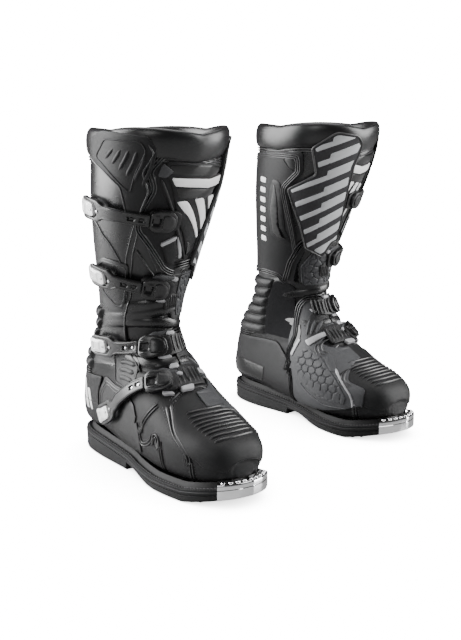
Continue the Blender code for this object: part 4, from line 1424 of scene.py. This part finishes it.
# Ribbed bands that carry the holders round the front.
def ribbed_band(name, body, middle, half, left, right, base, lift, slant, rib, rib_base):
    """A short plate across the front of the leg with six upright ribs."""
    p = Piece(name + "_ribbed_band", body)
    outline = [(left, middle - half), (left, middle + half), (right, middle + half - slant),
               (right, middle - half + slant)]
    plate(p, leg, outline, base, lift, "plastic_dark", 1.2, corner=3, mesh=4)
    for k in range(6):
        x = left + 3 + k * (right - left - 6) / 5
        bar(p, leg, [(x, middle - half + 2.5), (x, middle + half - 2.5)], 3.0, rib, "moulded", rib_base,
            smooth=0)
    return p


p = ribbed_band("calf", "leg", 205, 11, -8, 12, 0.1, 4.4, 3, 1.6, 4.0)
p.done(slot="matte_plastic")
p = ribbed_band("ankle", "foot", 154, 13, -8, 26, -2.0, 4.6, 4, 1.8, 4.2)
# Light-grey end piece: a painted highlight on the bevel.
plate(p, leg, [(-6, 165), (-4, 169), (4, 168.5), (3, 164)], 2.0, 6.6, "bevel_highlight", 0.8, corner=1)
p.done(slot="matte_plastic")
p = Piece("instep_ribbed_band", "foot")
plate(p, foot_tp, [(92, -16), (116, -16), (116, 22), (94, 22)], 0.0, 5.0, "plastic_dark", 1.2, corner=4,
      mesh=4)
for k in range(6):
    x = -10 + 5.4 * k
    bar(p, foot_tp, [(96, x), (113, x)], 3.4, 1.8, "moulded", 4.6, smooth=0)
# Light-grey end pieces: painted highlights on the bevels.
plate(p, foot_tp, [(114, -14), (119, -12), (118, -2), (113, -3)], 2.0, 6.6, "bevel_highlight", 0.8, corner=1)
plate(p, foot_tp, [(90, -14), (94, -13), (94, 2), (89, 0)], 2.0, 6.2, "bevel_highlight", 0.8, corner=1)
p.done(slot="matte_plastic")

# ================================================================ room, light and camera
floor_mat = shader("studio_floor", (0.35, 0.35, 0.35), 0.30)
floor_nodes = floor_mat.node_tree.nodes
floor_mat.node_tree.nodes["Principled BSDF"].inputs["Emission Color"].default_value = (1, 1, 1, 1)
seen_by = floor_nodes.new("ShaderNodeLightPath")
glow = floor_nodes.new("ShaderNodeMath")
glow.operation = "MULTIPLY"
# Ambient occlusion dims the floor's camera-only glow near the boots: a painted contact shadow under them.
near = floor_nodes.new("ShaderNodeAmbientOcclusion")
near.inputs["Distance"].default_value = 0.16
shade = floor_nodes.new("ShaderNodeMapRange")
shade.inputs["To Min"].default_value = 1.2
shade.inputs["To Max"].default_value = 20.0
floor_mat.node_tree.links.new(near.outputs["AO"], shade.inputs["Value"])
floor_mat.node_tree.links.new(shade.outputs["Result"], glow.inputs[1])
floor_mat.node_tree.links.new(seen_by.outputs["Is Camera Ray"], glow.inputs[0])
floor_mat.node_tree.links.new(glow.outputs[0], floor_nodes["Principled BSDF"].inputs["Emission Strength"])
bpy.ops.mesh.primitive_plane_add(size=30, location=(0, 0, -0.0004))
floor = bpy.context.object
floor.name = "studio_floor"
floor.data.materials.append(floor_mat)

world = bpy.data.worlds.new("studio")
bpy.context.scene.world = world
world.use_nodes = True
nt = world.node_tree
back = nt.nodes["Background"]
back.inputs["Color"].default_value = (1, 1, 1, 1)
back.inputs["Strength"].default_value = 0.10
seen = nt.nodes.new("ShaderNodeBackground")
seen.inputs["Color"].default_value = (1, 1, 1, 1)
seen.inputs["Strength"].default_value = 20.0
path = nt.nodes.new("ShaderNodeLightPath")
mixer = nt.nodes.new("ShaderNodeMixShader")
nt.links.new(path.outputs["Is Camera Ray"], mixer.inputs[0])
nt.links.new(back.outputs[0], mixer.inputs[1])
nt.links.new(seen.outputs[0], mixer.inputs[2])
nt.links.new(mixer.outputs[0], nt.nodes["World Output"].inputs["Surface"])


def lamp(name, place, aim, size, power):
    light = bpy.data.lights.new(name, "AREA")
    light.shape = "RECTANGLE"
    light.size, light.size_y = size
    light.energy = power
    obj = bpy.data.objects.new(name, light)
    obj.location = place
    obj.rotation_euler = (Vector(aim) - Vector(place)).to_track_quat("-Z", "Y").to_euler()
    bpy.context.scene.collection.objects.link(obj)
    return obj


lamp("left_softbox", (-1.7, 0.1, 0.7), (-0.1, 0, 0.2), (1.3, 1.6), 98)
lamp("right_softbox", (1.7, 0.1, 0.7), (0.1, 0, 0.2), (0.9, 1.6), 60)
lamp("top_softbox", (0.0, 0.3, 2.2), (0, 0, 0.0), (2.0, 2.0), 55)
lamp("front_fill", (-0.9, -2.2, 1.3), (0, 0, 0.2), (1.0, 1.0), 14)

CAMERA_LENS = 78.4
CAMERA_PITCH = 12.4      # degrees below level
cam_data = bpy.data.cameras.new("photo_view")
cam_data.sensor_fit = "HORIZONTAL"
cam_data.sensor_width = 36
cam_data.lens = CAMERA_LENS
cam_data.clip_start = 0.01
cam = bpy.data.objects.new("photo_view", cam_data)
cam.location = (-0.0286, -1.2405, 0.431)
cam.rotation_euler = (math.radians(90 - CAMERA_PITCH), 0, 0)
bpy.context.scene.collection.objects.link(cam)
bpy.context.scene.camera = cam
